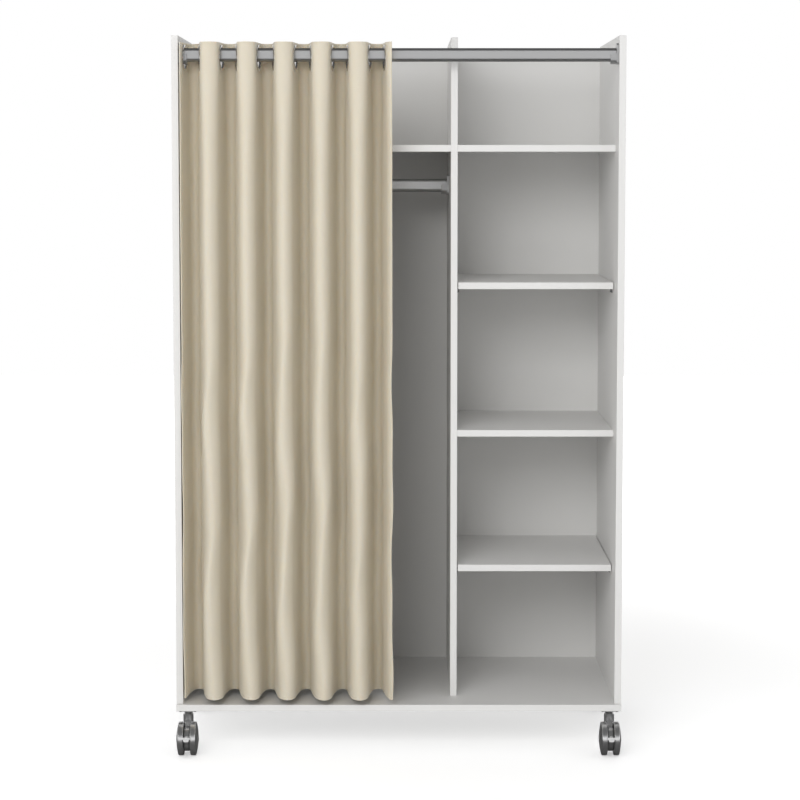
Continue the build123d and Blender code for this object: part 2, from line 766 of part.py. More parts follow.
def brake_lever():
    """A stem on two trunnions, with a pedal in front of both wheels."""
    axle_z = wheel_radius
    pivot_y = -castor_trail - brake_pivot_reach
    pivot_z = axle_z + brake_pivot_rise
    half_height = brake_stem_height / 2
    pedal_back = -castor_trail - wheel_radius - brake_pedal_gap
    pedal_front = pedal_back - brake_pedal_depth
    stem = block((-brake_stem_width / 2, pedal_back - brake_pedal_depth / 2, pivot_z - half_height),
                 (brake_stem_width / 2, pivot_y, pivot_z + half_height))
    heel = rod((-brake_stem_width / 2, pivot_y, pivot_z), (1, 0, 0), half_height,
               brake_stem_width)
    trunnions = rod((-brake_trunnion_length / 2, pivot_y, pivot_z), (1, 0, 0),
                    brake_trunnion_radius, brake_trunnion_length)
    pedal = block((-brake_pedal_width / 2, pedal_front, pivot_z - brake_pedal_height / 2),
                  (brake_pedal_width / 2, pedal_back, pivot_z + brake_pedal_height / 2))
    pedal = fillet(pedal.edges(), brake_pedal_edge)
    return stem + heel + trunnions + pedal


def castor_wheel():
    """One wheel about Z: the inner side at zero, the domed outer side up, a blind bore."""
    bore = axle_radius + running_clearance
    shoulder_radius = wheel_radius - tread_shoulder
    dome_radius = (shoulder_radius ** 2 + wheel_dome ** 2) / (wheel_dome * 2)
    half_turn = math.asin(shoulder_radius / dome_radius) / 2
    apex = tread_width + wheel_dome
    dome_middle = (dome_radius * math.sin(half_turn),
                   apex - dome_radius * (1 - math.cos(half_turn)))
    corner = tread_shoulder * (1 - math.sqrt(0.5))
    rim_inner = wheel_radius - wheel_rim
    outline = Curve() + [
        Polyline((bore, 0), (wheel_boss_radius, 0), (wheel_boss_radius, wheel_recess_depth),
                 (rim_inner, wheel_recess_depth), (rim_inner, 0), (shoulder_radius, 0)),
        ThreePointArc((shoulder_radius, 0), (wheel_radius - corner, corner),
                      (wheel_radius, tread_shoulder)),
        Line((wheel_radius, tread_shoulder), (wheel_radius, tread_width - tread_shoulder)),
        ThreePointArc((wheel_radius, tread_width - tread_shoulder),
                      (wheel_radius - corner, tread_width - corner),
                      (shoulder_radius, tread_width)),
        ThreePointArc((shoulder_radius, tread_width), dome_middle, (0, apex)),
        Polyline((0, apex), (0, axle_in_wheel + axle_end_gap), (bore, axle_in_wheel + axle_end_gap),
                 (bore, 0)),
    ]
    return turned(outline)


def castor_axle():
    """A plain axle through the web into both wheels."""
    reach = wheel_gap / 2 + axle_in_wheel
    return rod((-reach, -castor_trail, wheel_radius), (1, 0, 0), axle_radius, reach * 2)


def plate_screw():
    """A domed screw up through a castor plate, with the underside of its head at zero."""
    rise = plate_screw_head_height
    head_half = plate_screw_head_radius / 2
    outline = Curve() + [
        ThreePointArc((0, -rise), (head_half, -rise * plate_screw_dome_share), (plate_screw_head_radius, 0)),
        Polyline((plate_screw_head_radius, 0), (plate_screw_radius, 0),
                 (plate_screw_radius, plate_screw_length - plate_screw_radius),
                 (0, plate_screw_length), (0, -rise)),
    ]
    cross = cross_recess(plate_screw_cross_width, plate_screw_cross_depth, head_half)
    return turned(outline) - Pos(0, 0, -rise) * cross


def castors():
    """Four castors, the front two with a brake lever, and the screws of their plates."""
    plate = castor_plate()
    axle = castor_axle()
    wheel = castor_wheel()
    screw = plate_screw()
    braked_housing = castor_housing(True)
    plain_housing = castor_housing(False)
    lever = brake_lever()
    screw_z = castor_height - plate_thickness
    places = (
        ("castor_front_left", castor_left_x, castor_front_y, True),
        ("castor_front_right", castor_right_x, castor_front_y, True),
        ("castor_rear_left", castor_left_x, castor_rear_y, False),
        ("castor_rear_right", castor_right_x, castor_rear_y, False),
    )
    for name, x, y, has_brake in places:
        here = Pos(x, y, 0)
        add_piece(f"{name}_plate", here * plate)
        add_piece(f"{name}_housing", here * (braked_housing if has_brake else plain_housing))
        add_piece(f"{name}_axle", here * axle)
        for side, word in ((-1, "left"), (1, "right")):
            inner = (x + side * wheel_gap / 2, y - castor_trail, wheel_radius)
            add_piece(f"{name}_wheel_{word}", put(wheel, inner, (side, 0, 0)))
        if has_brake:
            add_piece(f"{name}_brake_lever", here * lever)
        for hole_x, hole_y in plate_hole_places():
            place = (x + hole_x, y + hole_y, screw_z)
            add_piece("castor_screws", put(screw, place, (0, 0, 1)))
            add_bores("bottom_panel", rod(place, (0, 0, 1), plate_screw_radius + bore_clearance,
                                          plate_screw_length + bore_clearance))


def write_parts():
    """Drills the boards and writes one file for each node."""
    os.makedirs("parts", exist_ok=True)
    for name, shapes in pieces.items():
        if name in bores:
            shapes = [shape - bores[name] for shape in shapes]
        solids = [solid for shape in shapes for solid in shape.solids()]
        export_step(Compound(solids) if len(solids) > 1 else solids[0], f"parts/{name}.step")


def main():
    """Makes every piece and writes the files."""
    main_boards()
    shelves()
    back_sheets()
    back_nails()
    joint_screws_and_dowels()
    fixed_shelf_joints()
    shelf_pins()
    rails()
    curtain()
    castors()
    write_parts()


if __name__ == "__main__":
    main()
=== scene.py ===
import math
import random

import bpy
from bpy.props import FloatProperty, FloatVectorProperty, IntProperty, PointerProperty
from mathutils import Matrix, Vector


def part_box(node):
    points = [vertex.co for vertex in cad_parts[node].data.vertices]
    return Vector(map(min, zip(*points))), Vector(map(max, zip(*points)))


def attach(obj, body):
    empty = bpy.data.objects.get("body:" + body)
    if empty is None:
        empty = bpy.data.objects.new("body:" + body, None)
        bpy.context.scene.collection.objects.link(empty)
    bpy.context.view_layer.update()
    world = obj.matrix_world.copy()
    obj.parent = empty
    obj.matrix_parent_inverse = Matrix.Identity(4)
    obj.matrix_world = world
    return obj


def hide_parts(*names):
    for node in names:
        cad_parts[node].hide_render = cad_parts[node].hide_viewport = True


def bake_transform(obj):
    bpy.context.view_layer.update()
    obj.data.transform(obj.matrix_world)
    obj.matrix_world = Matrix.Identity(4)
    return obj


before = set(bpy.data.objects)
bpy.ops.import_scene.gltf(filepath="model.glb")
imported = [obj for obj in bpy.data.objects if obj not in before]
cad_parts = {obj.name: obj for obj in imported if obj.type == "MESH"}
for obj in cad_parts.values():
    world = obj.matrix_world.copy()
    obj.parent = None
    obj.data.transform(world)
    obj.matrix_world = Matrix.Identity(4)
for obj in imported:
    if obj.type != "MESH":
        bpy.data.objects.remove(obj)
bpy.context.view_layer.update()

bl_info = {
    "name": "Open wardrobe on castors",
    "version": (1, 0, 0),
    "blender": (4, 5, 0),
    "location": "3D Viewport > Sidebar > Wardrobe",
    "description": "Finishes the boards, rails, eyelets and castors, and hangs the curtain",
    "category": "Add Mesh",
}

MM = 0.001
TURN = 2 * math.pi
SIDES = ((-1, "left"), (1, "right"))
EYELETS = sorted(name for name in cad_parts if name.startswith("eyelet_"))
CASTORS = sorted({name.split("_wheel_")[0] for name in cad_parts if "_wheel_" in name})


def number(name, about, default, **limits):
    """A property that holds one number."""
    return FloatProperty(name=name, description=about, default=default, **limits)


def length(name, about, default):
    """A length in metres."""
    return number(name, about, default, unit="LENGTH", precision=5)


def share(name, about, default):
    """A share between nothing and all."""
    return number(name, about, default, min=0.0, max=1.0, subtype="FACTOR")


def angle(name, about, degrees):
    """An angle, given in degrees."""
    return number(name, about, math.radians(degrees), subtype="ANGLE")


def whole(name, about, default, least):
    """A whole number."""
    return IntProperty(name=name, description=about, default=default, min=least)


def colour(name, about, default):
    """A colour, in the linear values that the shaders read."""
    return FloatVectorProperty(name=name, description=about, default=default, size=3,
                               subtype="COLOR", min=0.0, max=1.0)


class StageSettings(bpy.types.PropertyGroup):
    """Floor, light and camera"""

    floor_half: length("Floor half width", "Half the side of the square floor", 9.0)
    floor_colour: colour("Floor colour", "Pale floor", (0.96, 0.96, 0.96))
    floor_mirrored: colour("Mirrored floor", "Dark floor that metal mirrors", (0.1, 0.1, 0.1))
    floor_glow: share("Floor glow", "Own light of the floor, which whitens it", 0.08)
    floor_seen: share("Seen floor glow", "Further glow that only the camera sees", 0.3)
    sky_colour: colour("Studio colour", "Even light from all round", (1.0, 1.0, 1.0))
    sky_strength: number("Studio strength", "Brightness of the even light", 0.66, min=0.0)
    zenith_share: share("Overhead share", "Brightness overhead against the walls", 0.75)
    mirror_strength: number("Mirrored studio", "Brightness that metal mirrors", 1.1, min=0.0)
    mirror_dark: share("Mirrored dark", "Brightness of the dark parts that metal mirrors", 0.11)
    front_power: number("Front light", "Soft box over the camera's left", 56.0, min=0.0,
                        unit="POWER")
    key_power: number("Key light", "Soft box in front, further left", 46.0, min=0.0,
                      unit="POWER")
    camera_x: length("Camera side step", "How far right of the middle it stands", 0.0028)
    camera_y: length("Camera distance", "How far in front of the origin it stands", 5.1914)
    camera_z: length("Camera height", "Height of the lens over the floor", 1.316)
    camera_pitch: angle("Camera pitch", "How far the camera looks down", 4.89)
    lens: number("Lens", "Focal length", 101.1, subtype="DISTANCE_CAMERA")
    lens_shift: number("Lens shift", "Small shift that frames the castors", -0.05)


class BoardSettings(bpy.types.PropertyGroup):
    """White boards and the back sheets"""

    white: colour("Board white", "Melamine facing", (0.765, 0.76, 0.748))
    back_white: colour("Back white", "Painted face of the back sheets", (0.74, 0.735, 0.72))
    back_rear: colour("Back rear", "Rear of the back sheets", (0.6, 0.545, 0.465))
    grain_pitch: length("Facing grain", "Size of the fine pebble of the facing", 0.0007)
    band: length("Edge band", "Thickness of the edge band on the front edges", 0.0009)


class MetalSettings(bpy.types.PropertyGroup):
    """Rails, brackets, eyelets, fasteners and castors"""

    rail: colour("Rail silver", "Satin silver tube", (0.55, 0.553, 0.556))
    # Painted shade: height of the darker band coloured onto the tube's top and bottom turns.
    rail_shade_band: length("Rail edge", "Height of the darker turn of the tube", 0.0014)
    bracket: colour("Bracket grey", "Cast rail bracket", (0.5, 0.503, 0.506))
    eyelet: colour("Eyelet metal", "Polished eyelets", (0.72, 0.72, 0.726))
    zinc: colour("Zinc", "Plated screws, locks, plates and axles", (0.62, 0.62, 0.62))
    # Painted shade: the castor screws are coloured near black, standing in for the shade under the
    # castor plate.
    screw_painted_shade: colour("Dark screws", "Shade-painted screws of the castors", (0.05, 0.05, 0.052))
    castor: colour("Castor grey", "Silver grey castor housings", (0.8, 0.8, 0.803))
    lever: colour("Lever", "Bright brake levers", (0.84, 0.84, 0.84))
    tread: colour("Tread grey", "Castor wheels", (0.77, 0.77, 0.772))
    pin: colour("Pin grey", "Moulded shelf pins", (0.2, 0.2, 0.2))
    beech: colour("Beech", "Wood dowels", (0.62, 0.42, 0.24))


class CastorSettings(bpy.types.PropertyGroup):
    """Ribs and hub caps of the castor wheels, and the lips of the brake pedals"""

    rib_count: whole("Ribs", "Ribs in each wheel", 12, 3)
    rib_thickness: length("Rib thickness", "Thickness of one rib", 0.0011)
    rib_inset: length("Rib inset", "From the wheel's inner side to the ribs", 0.0009)
    rib_depth: length("Rib depth", "Depth of the ribs along the axle", 0.0068)
    boss_radius: length("Boss radius", "Where the ribs start", 0.0088)
    rim: length("Rim", "Thickness of the rim where the ribs end", 0.0039)
    cap_radius: length("Hub cap radius", "Radius of the cap on the domed side", 0.0085)
    cap_height: length("Hub cap height", "How far the cap stands out", 0.0005)
    cap_steps: whole("Hub cap steps", "Faces round a hub cap", 40, 8)
    lip_width: length("Lip width", "Width of the lip under a brake pedal", 0.0128)
    lip_drop: length("Lip drop", "How far it reaches below the pedal's middle", 0.0076)
    lip_thickness: length("Lip thickness", "Thickness of the lip", 0.0018)
    lip_corner: length("Lip corner", "Radius of the lip's lower corners", 0.0034)
    lip_setback: length("Lip setback", "From the lever's front to the lip", 0.0009)
    lip_edge: length("Lip edge", "Bevel round the lip's front", 0.0004)
    lip_steps: whole("Lip steps", "Faces round a corner of the lip", 8, 2)


class CurtainSettings(bpy.types.PropertyGroup):
    """Curtain cloth, folds, hems and stitches"""

    cloth: colour("Cloth", "Warm beige weave", (0.7, 0.643, 0.525))
    thread: colour("Thread", "Sewing thread of the hems", (0.70, 0.64, 0.52))
    thickness: length("Cloth thickness", "Thickness of one layer", 0.001)
    lean: angle("Flank lean", "How far the flanks lean towards each fold", 6.5)
    left_turn: angle("Left hem turn", "How far the cloth curls at its left hem", 22.0)
    right_turn: angle("Right hem turn", "How far the cloth curls at its right hem", 60.0)
    column_step: length("Column step", "Mesh step across the folds", 0.003)
    row_step: length("Row step", "Mesh step down the cloth", 0.012)
    fine_step: length("Fine step", "Mesh step near the eyelets", 0.003)
    hem_width: length("Hem width", "Width of the narrow turned hem", 0.007)
    hem_step: length("Hem step", "Mesh step inside a hem", 0.00175)
    hem_fold: length("Hem fold", "How much thicker the hem is on its rear side", 0.0008)
    stitch_pitch: length("Stitch pitch", "From one stitch to the next", 0.0036)
    stitch_length: length("Stitch length", "Length of one stitch", 0.0029)
    thread_radius: length("Thread radius", "Radius of the sewing thread", 0.00028)
    weave_pitch: length("Weave pitch", "From one thread to the next", 0.00065)
    softness: share("Softness", "How far the folds relax below the eyelets", 0.35)
    soften_drop: length("Softening", "Height over which the folds relax", 0.22)
    widening: share("Fold widening", "How much rounder a relaxed front fold is", 0.2)
    swell: share("Fold swell", "How much further front folds reach below eyelets", 0.15)
    hem_swell: share("Hem swell", "How much further they reach near the hem", 0.24)
    tip_start: share("Tip start", "Where a front fold's tip starts, by its depth", 0.55)
    sway_start: length("Sway start", "How far below the rail the sway grows", 0.5)
    sway_full: length("Sway full", "How far below the rail the sway is full", 0.8)
    sway_wave: length("Sway wave", "Length of one sway down the cloth", 0.43)


def put(target, value):
    """Links an output to an input, or sets the input's own value."""
    if isinstance(value, bpy.types.NodeSocket):
        target.id_data.links.new(value, target)
    else:
        target.default_value = value


def feed(node, **inputs):
    """Fills a node's inputs by name, where underscores stand for spaces."""
    for name, value in inputs.items():
        put(node.inputs[name.replace("_", " ")], value)
    return node


def add(tree, kind, settings=None, **inputs):
    """Adds a node with its settings and inputs."""
    node = tree.nodes.new(kind)
    for name, value in (settings or {}).items():
        setattr(node, name, value)
    return feed(node, **inputs)


def made(tree, kind, settings=None, **inputs):
    """The first output of a new node."""
    return add(tree, kind, settings, **inputs).outputs[0]


def calculate(tree, operation, *values):
    """The result of a math node."""
    node = add(tree, "ShaderNodeMath", {"operation": operation})
    for target, value in zip(node.inputs, values):
        put(target, value)
    return node.outputs[0]


def new_material(name):
    """An empty node material with its shader."""
    material = bpy.data.materials.new(name)
    material.use_nodes = True
    tree = material.node_tree
    tree.nodes.clear()
    shader = add(tree, "ShaderNodeBsdfPrincipled")
    add(tree, "ShaderNodeOutputMaterial", Surface=shader.outputs[0])
    return material, tree, shader


def axis(tree, letter, source="Object"):
    """One coordinate of the point that is shaded."""
    coordinates = tree.nodes.new("ShaderNodeTexCoord")
    parts = add(tree, "ShaderNodeSeparateXYZ", Vector=coordinates.outputs[source])
    return parts.outputs[letter]


def place(tree, stretch=(1.0, 1.0, 1.0), source="Object"):
    """Object or UV coordinates through a Mapping node."""
    coordinates = tree.nodes.new("ShaderNodeTexCoord")
    return made(tree, "ShaderNodeMapping", Vector=coordinates.outputs[source], Scale=stretch)


def noise(tree, scale=1.0, detail=2.0, roughness=0.5, stretch=(1.0, 1.0, 1.0), source="Object"):
    """A noise value from nothing to one."""
    node = add(tree, "ShaderNodeTexNoise", Vector=place(tree, stretch, source), Scale=scale,
               Detail=detail, Roughness=roughness)
    return node.outputs["Fac"]


def shade(tint, factor=1.0):
    """A colour made darker or lighter, as the four values that a node takes."""
    return (*(min(1.0, value * factor) for value in tint), 1.0)


def blend_colour(tree, factor, first, second):
    """Mixes two colours by a factor."""
    node = add(tree, "ShaderNodeMix", {"data_type": "RGBA"})
    targets = {target.identifier: target for target in node.inputs}
    for name, value in (("Factor_Float", factor), ("A_Color", first), ("B_Color", second)):
        put(targets[name], value)
    return next(output for output in node.outputs if output.identifier == "Result_Color")


def tones(tree, factor, tint, dark, light):
    """A colour that varies between a darker and a lighter share of itself."""
    return blend_colour(tree, factor, shade(tint, dark), shade(tint, light))


def spread(tree, value, low, high):
    """Maps a value from nothing to one onto low to high."""
    return made(tree, "ShaderNodeMapRange", Value=value, To_Min=low, To_Max=high)


def ramp(tree, value, between, strengths=(0.0, 1.0)):
    """A strength that changes smoothly while a value goes between two limits."""
    return made(tree, "ShaderNodeMapRange", {"interpolation_type": "SMOOTHSTEP"}, Value=value,
                From_Min=between[0], From_Max=between[1], To_Min=strengths[0],
                To_Max=strengths[1])


def bump(tree, height, strength, depth, **under):
    """A bump from a height, over another Normal where given."""
    return made(tree, "ShaderNodeBump", Height=height, Strength=strength, Distance=depth, **under)


def switch(tree, factor, otherwise, where):
    """One shader, and another where the factor is one."""
    node = tree.nodes.new("ShaderNodeMixShader")
    for target, output in zip(node.inputs, (factor, otherwise, where)):
        put(target, output)
    return node.outputs[0]


def board_material(name, settings, front):
    """White melamine facing with a fine pebble, and the seam of the band on the front edge."""
    seam_half, seam_tint, seam_dark = 0.25 * MM, 0.45, 0.6
    material, tree, shader = new_material(name)
    cloud = noise(tree, scale=3.0, detail=3.0)
    pebble = noise(tree, scale=1.0 / settings.grain_pitch, roughness=0.6)
    away = calculate(tree, "SUBTRACT", axis(tree, "Y"), front + settings.band)
    near = calculate(tree, "DIVIDE", calculate(tree, "ABSOLUTE", away), seam_half)
    groove = calculate(tree, "MINIMUM", near, 1.0)
    seam = calculate(tree, "SUBTRACT", 1.0, groove)
    body = tones(tree, cloud, settings.white, dark=0.985, light=1.012)
    seamed = calculate(tree, "MULTIPLY", seam, seam_tint)
    grain = bump(tree, pebble, strength=0.12, depth=0.06 * MM)
    feed(shader, Base_Color=blend_colour(tree, seamed, body, shade(settings.white, seam_dark)),
         Roughness=spread(tree, pebble, low=0.4, high=0.52),
         Normal=bump(tree, groove, strength=0.5, depth=0.08 * MM, Normal=grain),
         Specular_IOR_Level=0.42)
    return material


def back_material(settings, rear_y):
    """Back sheets: painted inside, duller with a fibre grain behind."""
    rear_skin = 0.4 * MM
    material, tree, shader = new_material("back_sheet_paint")
    behind = calculate(tree, "GREATER_THAN", axis(tree, "Y"), rear_y - rear_skin)
    fibre = noise(tree, detail=4.0, roughness=0.65, stretch=(420.0, 60.0, 420.0))
    cloud = noise(tree, scale=2.5, detail=3.0)
    mottle = calculate(tree, "MULTIPLY", calculate(tree, "ADD", fibre, cloud), 0.5)
    painted = tones(tree, cloud, settings.back_white, dark=0.985, light=1.01)
    raw = tones(tree, mottle, settings.back_rear, dark=0.82, light=1.14)
    feed(shader, Base_Color=blend_colour(tree, behind, painted, raw),
         Roughness=spread(tree, fibre, low=0.46, high=0.62),
         Normal=bump(tree, fibre, strength=0.12, depth=0.05 * MM))
    return material


def surface(name, tint, fine, tone, rough, relief=None, cloud=None, metallic=0.0):
    """A finish whose fine noise varies roughness and relief, and the tone if there is no cloud."""
    material, tree, shader = new_material(name)
    pattern = noise(tree, **fine)
    patches = noise(tree, **cloud) if cloud else pattern
    feed(shader, Base_Color=tones(tree, patches, tint, *tone),
         Roughness=spread(tree, pattern, *rough), Metallic=metallic)
    if relief:
        feed(shader, Normal=bump(tree, pattern, *relief))
    return material


def brushed_material(name, tint, roughness, flecks, streak=0.04):
    """Bare metal with fine flecks, so many a metre, that its roughness follows."""
    return surface(name, tint, {"detail": 3.0, "roughness": 0.6, "stretch": (flecks,) * 3},
                   tone=(0.95, 1.05), rough=(roughness - streak, roughness + streak),
                   relief=(0.1, 0.02 * MM), cloud={"scale": 14.0}, metallic=1.0)


def moulded_material(name, tint, roughness, metallic, grain=0.4 * MM):
    """Moulded or cast surface with a fine spark-eroded grain."""
    vary = 0.05
    return surface(name, tint, {"scale": 1.0 / grain, "roughness": 0.55}, tone=(0.92, 1.08),
                   rough=(roughness - vary, roughness + vary), relief=(0.15, 0.03 * MM),
                   cloud={"scale": 30.0}, metallic=metallic)


def wood_material(name, tint):
    """Turned beech with short flecks along the piece."""
    return surface(name, tint, {"detail": 4.0, "roughness": 0.6, "stretch": (60.0, 500.0, 500.0)},
                   tone=(0.8, 1.12), rough=(0.5, 0.7), relief=(0.3, 0.08 * MM))


def thread_material(name, tint):
    """Twisted sewing thread."""
    return surface(name, tint, {"scale": 4000.0}, tone=(0.8, 1.1), rough=(0.6, 0.8))


def rail_material(name, settings, low, high):
    """Satin tube, drawn lengthwise, with painted shade along its top and bottom turns, darker at
    the bottom than at the top.
    """
    shade_band_start, shade_band_full = 1.3, 0.6
    # Painted shade: colour shares of the turns, darker at the bottom turn than at the top one.
    top_painted_shade, bottom_painted_shade = 0.75, 0.6
    material, tree, shader = new_material(name)
    lines = noise(tree, detail=3.0, roughness=0.6, stretch=(4.0, 900.0, 900.0))
    height = axis(tree, "Z")
    over = calculate(tree, "SUBTRACT", height, low.z)
    under = calculate(tree, "SUBTRACT", high.z, height)
    upper = calculate(tree, "GREATER_THAN", over, under)
    # Painted shade: a band that darkens the tube's colour towards its top and bottom turns.
    edge = ramp(tree, calculate(tree, "MINIMUM", over, under),
                (settings.rail_shade_band * shade_band_start, settings.rail_shade_band * shade_band_full))
    plain = tones(tree, lines, settings.rail, dark=0.97, light=1.03)
    turn = tones(tree, upper, settings.rail, bottom_painted_shade, top_painted_shade)
    feed(shader, Base_Color=blend_colour(tree, edge, plain, turn), Metallic=1.0,
         Roughness=spread(tree, lines, low=0.34, high=0.44),
         Normal=bump(tree, lines, strength=0.1, depth=0.02 * MM))
    return material


def cloth_material(settings):
    """Plain weave on the cloth's own UV, in metres, with slubs and a soft sheen."""
    patch_tint, patch_dark = 0.12, 0.9
    material, tree, shader = new_material("curtain_weave")
    threads = 1.0 / settings.weave_pitch
    parts = add(tree, "ShaderNodeSeparateXYZ", Vector=place(tree, (threads, threads, 1.0), "UV"))
    waves = [calculate(tree, "SINE", calculate(tree, "MULTIPLY", parts.outputs[letter], TURN))
             for letter in "XY"]
    weave = calculate(tree, "MULTIPLY", *waves)
    slub = noise(tree, detail=3.0, roughness=0.6, stretch=(900.0, 60.0, 1.0), source="UV")
    rib = noise(tree, detail=3.0, roughness=0.6, stretch=(60.0, 900.0, 1.0), source="UV")
    cloud = noise(tree, stretch=(5.0, 3.0, 1.0), source="UV")
    threadwise = calculate(tree, "MULTIPLY", calculate(tree, "ADD", slub, rib), 0.5)
    yarn = tones(tree, threadwise, settings.cloth, dark=0.93, light=1.06)
    patches = calculate(tree, "MULTIPLY", cloud, patch_tint)
    soft = bump(tree, threadwise, strength=0.25, depth=0.12 * MM)
    feed(shader, Base_Color=blend_colour(tree, patches, yarn, shade(settings.cloth, patch_dark)),
         Roughness=spread(tree, slub, low=0.4, high=0.48),
         Normal=bump(tree, weave, strength=0.2, depth=0.05 * MM, Normal=soft),
         Sheen_Weight=0.3, Sheen_Roughness=0.4, Sheen_Tint=(0.95, 0.9, 0.8, 1.0),
         Specular_IOR_Level=0.9, Subsurface_Weight=0.6, Subsurface_Scale=0.0012,
         Subsurface_Radius=(1.0, 0.85, 0.65))
    return material


def dress(names, material, slot):
    """Gives CAD nodes a finish; the slot argument is not used."""
    for name in names:
        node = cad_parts[name]
        node.data.materials.clear()
        node.data.materials.append(material)


def link_object(name, mesh):
    """An object of a mesh, in the scene."""
    piece = bpy.data.objects.new(name, mesh)
    bpy.context.scene.collection.objects.link(piece)
    return piece


def mesh_object(name, vertices, faces, material, sharp=(), uvs=None, flat=()):
    """A smooth mesh in place, with chosen sharp edges and flat faces."""
    mesh = bpy.data.meshes.new(name)
    mesh.from_pydata(vertices, [], faces)
    mesh.polygons.foreach_set("use_smooth", [index not in flat for index in range(len(faces))])
    if uvs is not None:
        layer = mesh.uv_layers.new(name="UVMap")
        layer.data.foreach_set("uv", [value for face in faces for vertex in face
                                      for value in uvs[vertex]])
    if sharp:
        keys = {tuple(sorted(edge)) for edge in sharp}
        attribute = mesh.attributes.new("sharp_edge", "BOOLEAN", "EDGE")
        attribute.data.foreach_set("value", [tuple(sorted(edge.vertices)) in keys
                                             for edge in mesh.edges])
    mesh.materials.append(material)
    mesh.update()
    return link_object(name, mesh)


def smooth_step(low, high, value):
    """Rises smoothly from nothing at low to one at high."""
    t = max(0.0, min(1.0, (value - low) / (high - low)))
    return t * t * (3.0 - 2.0 * t)


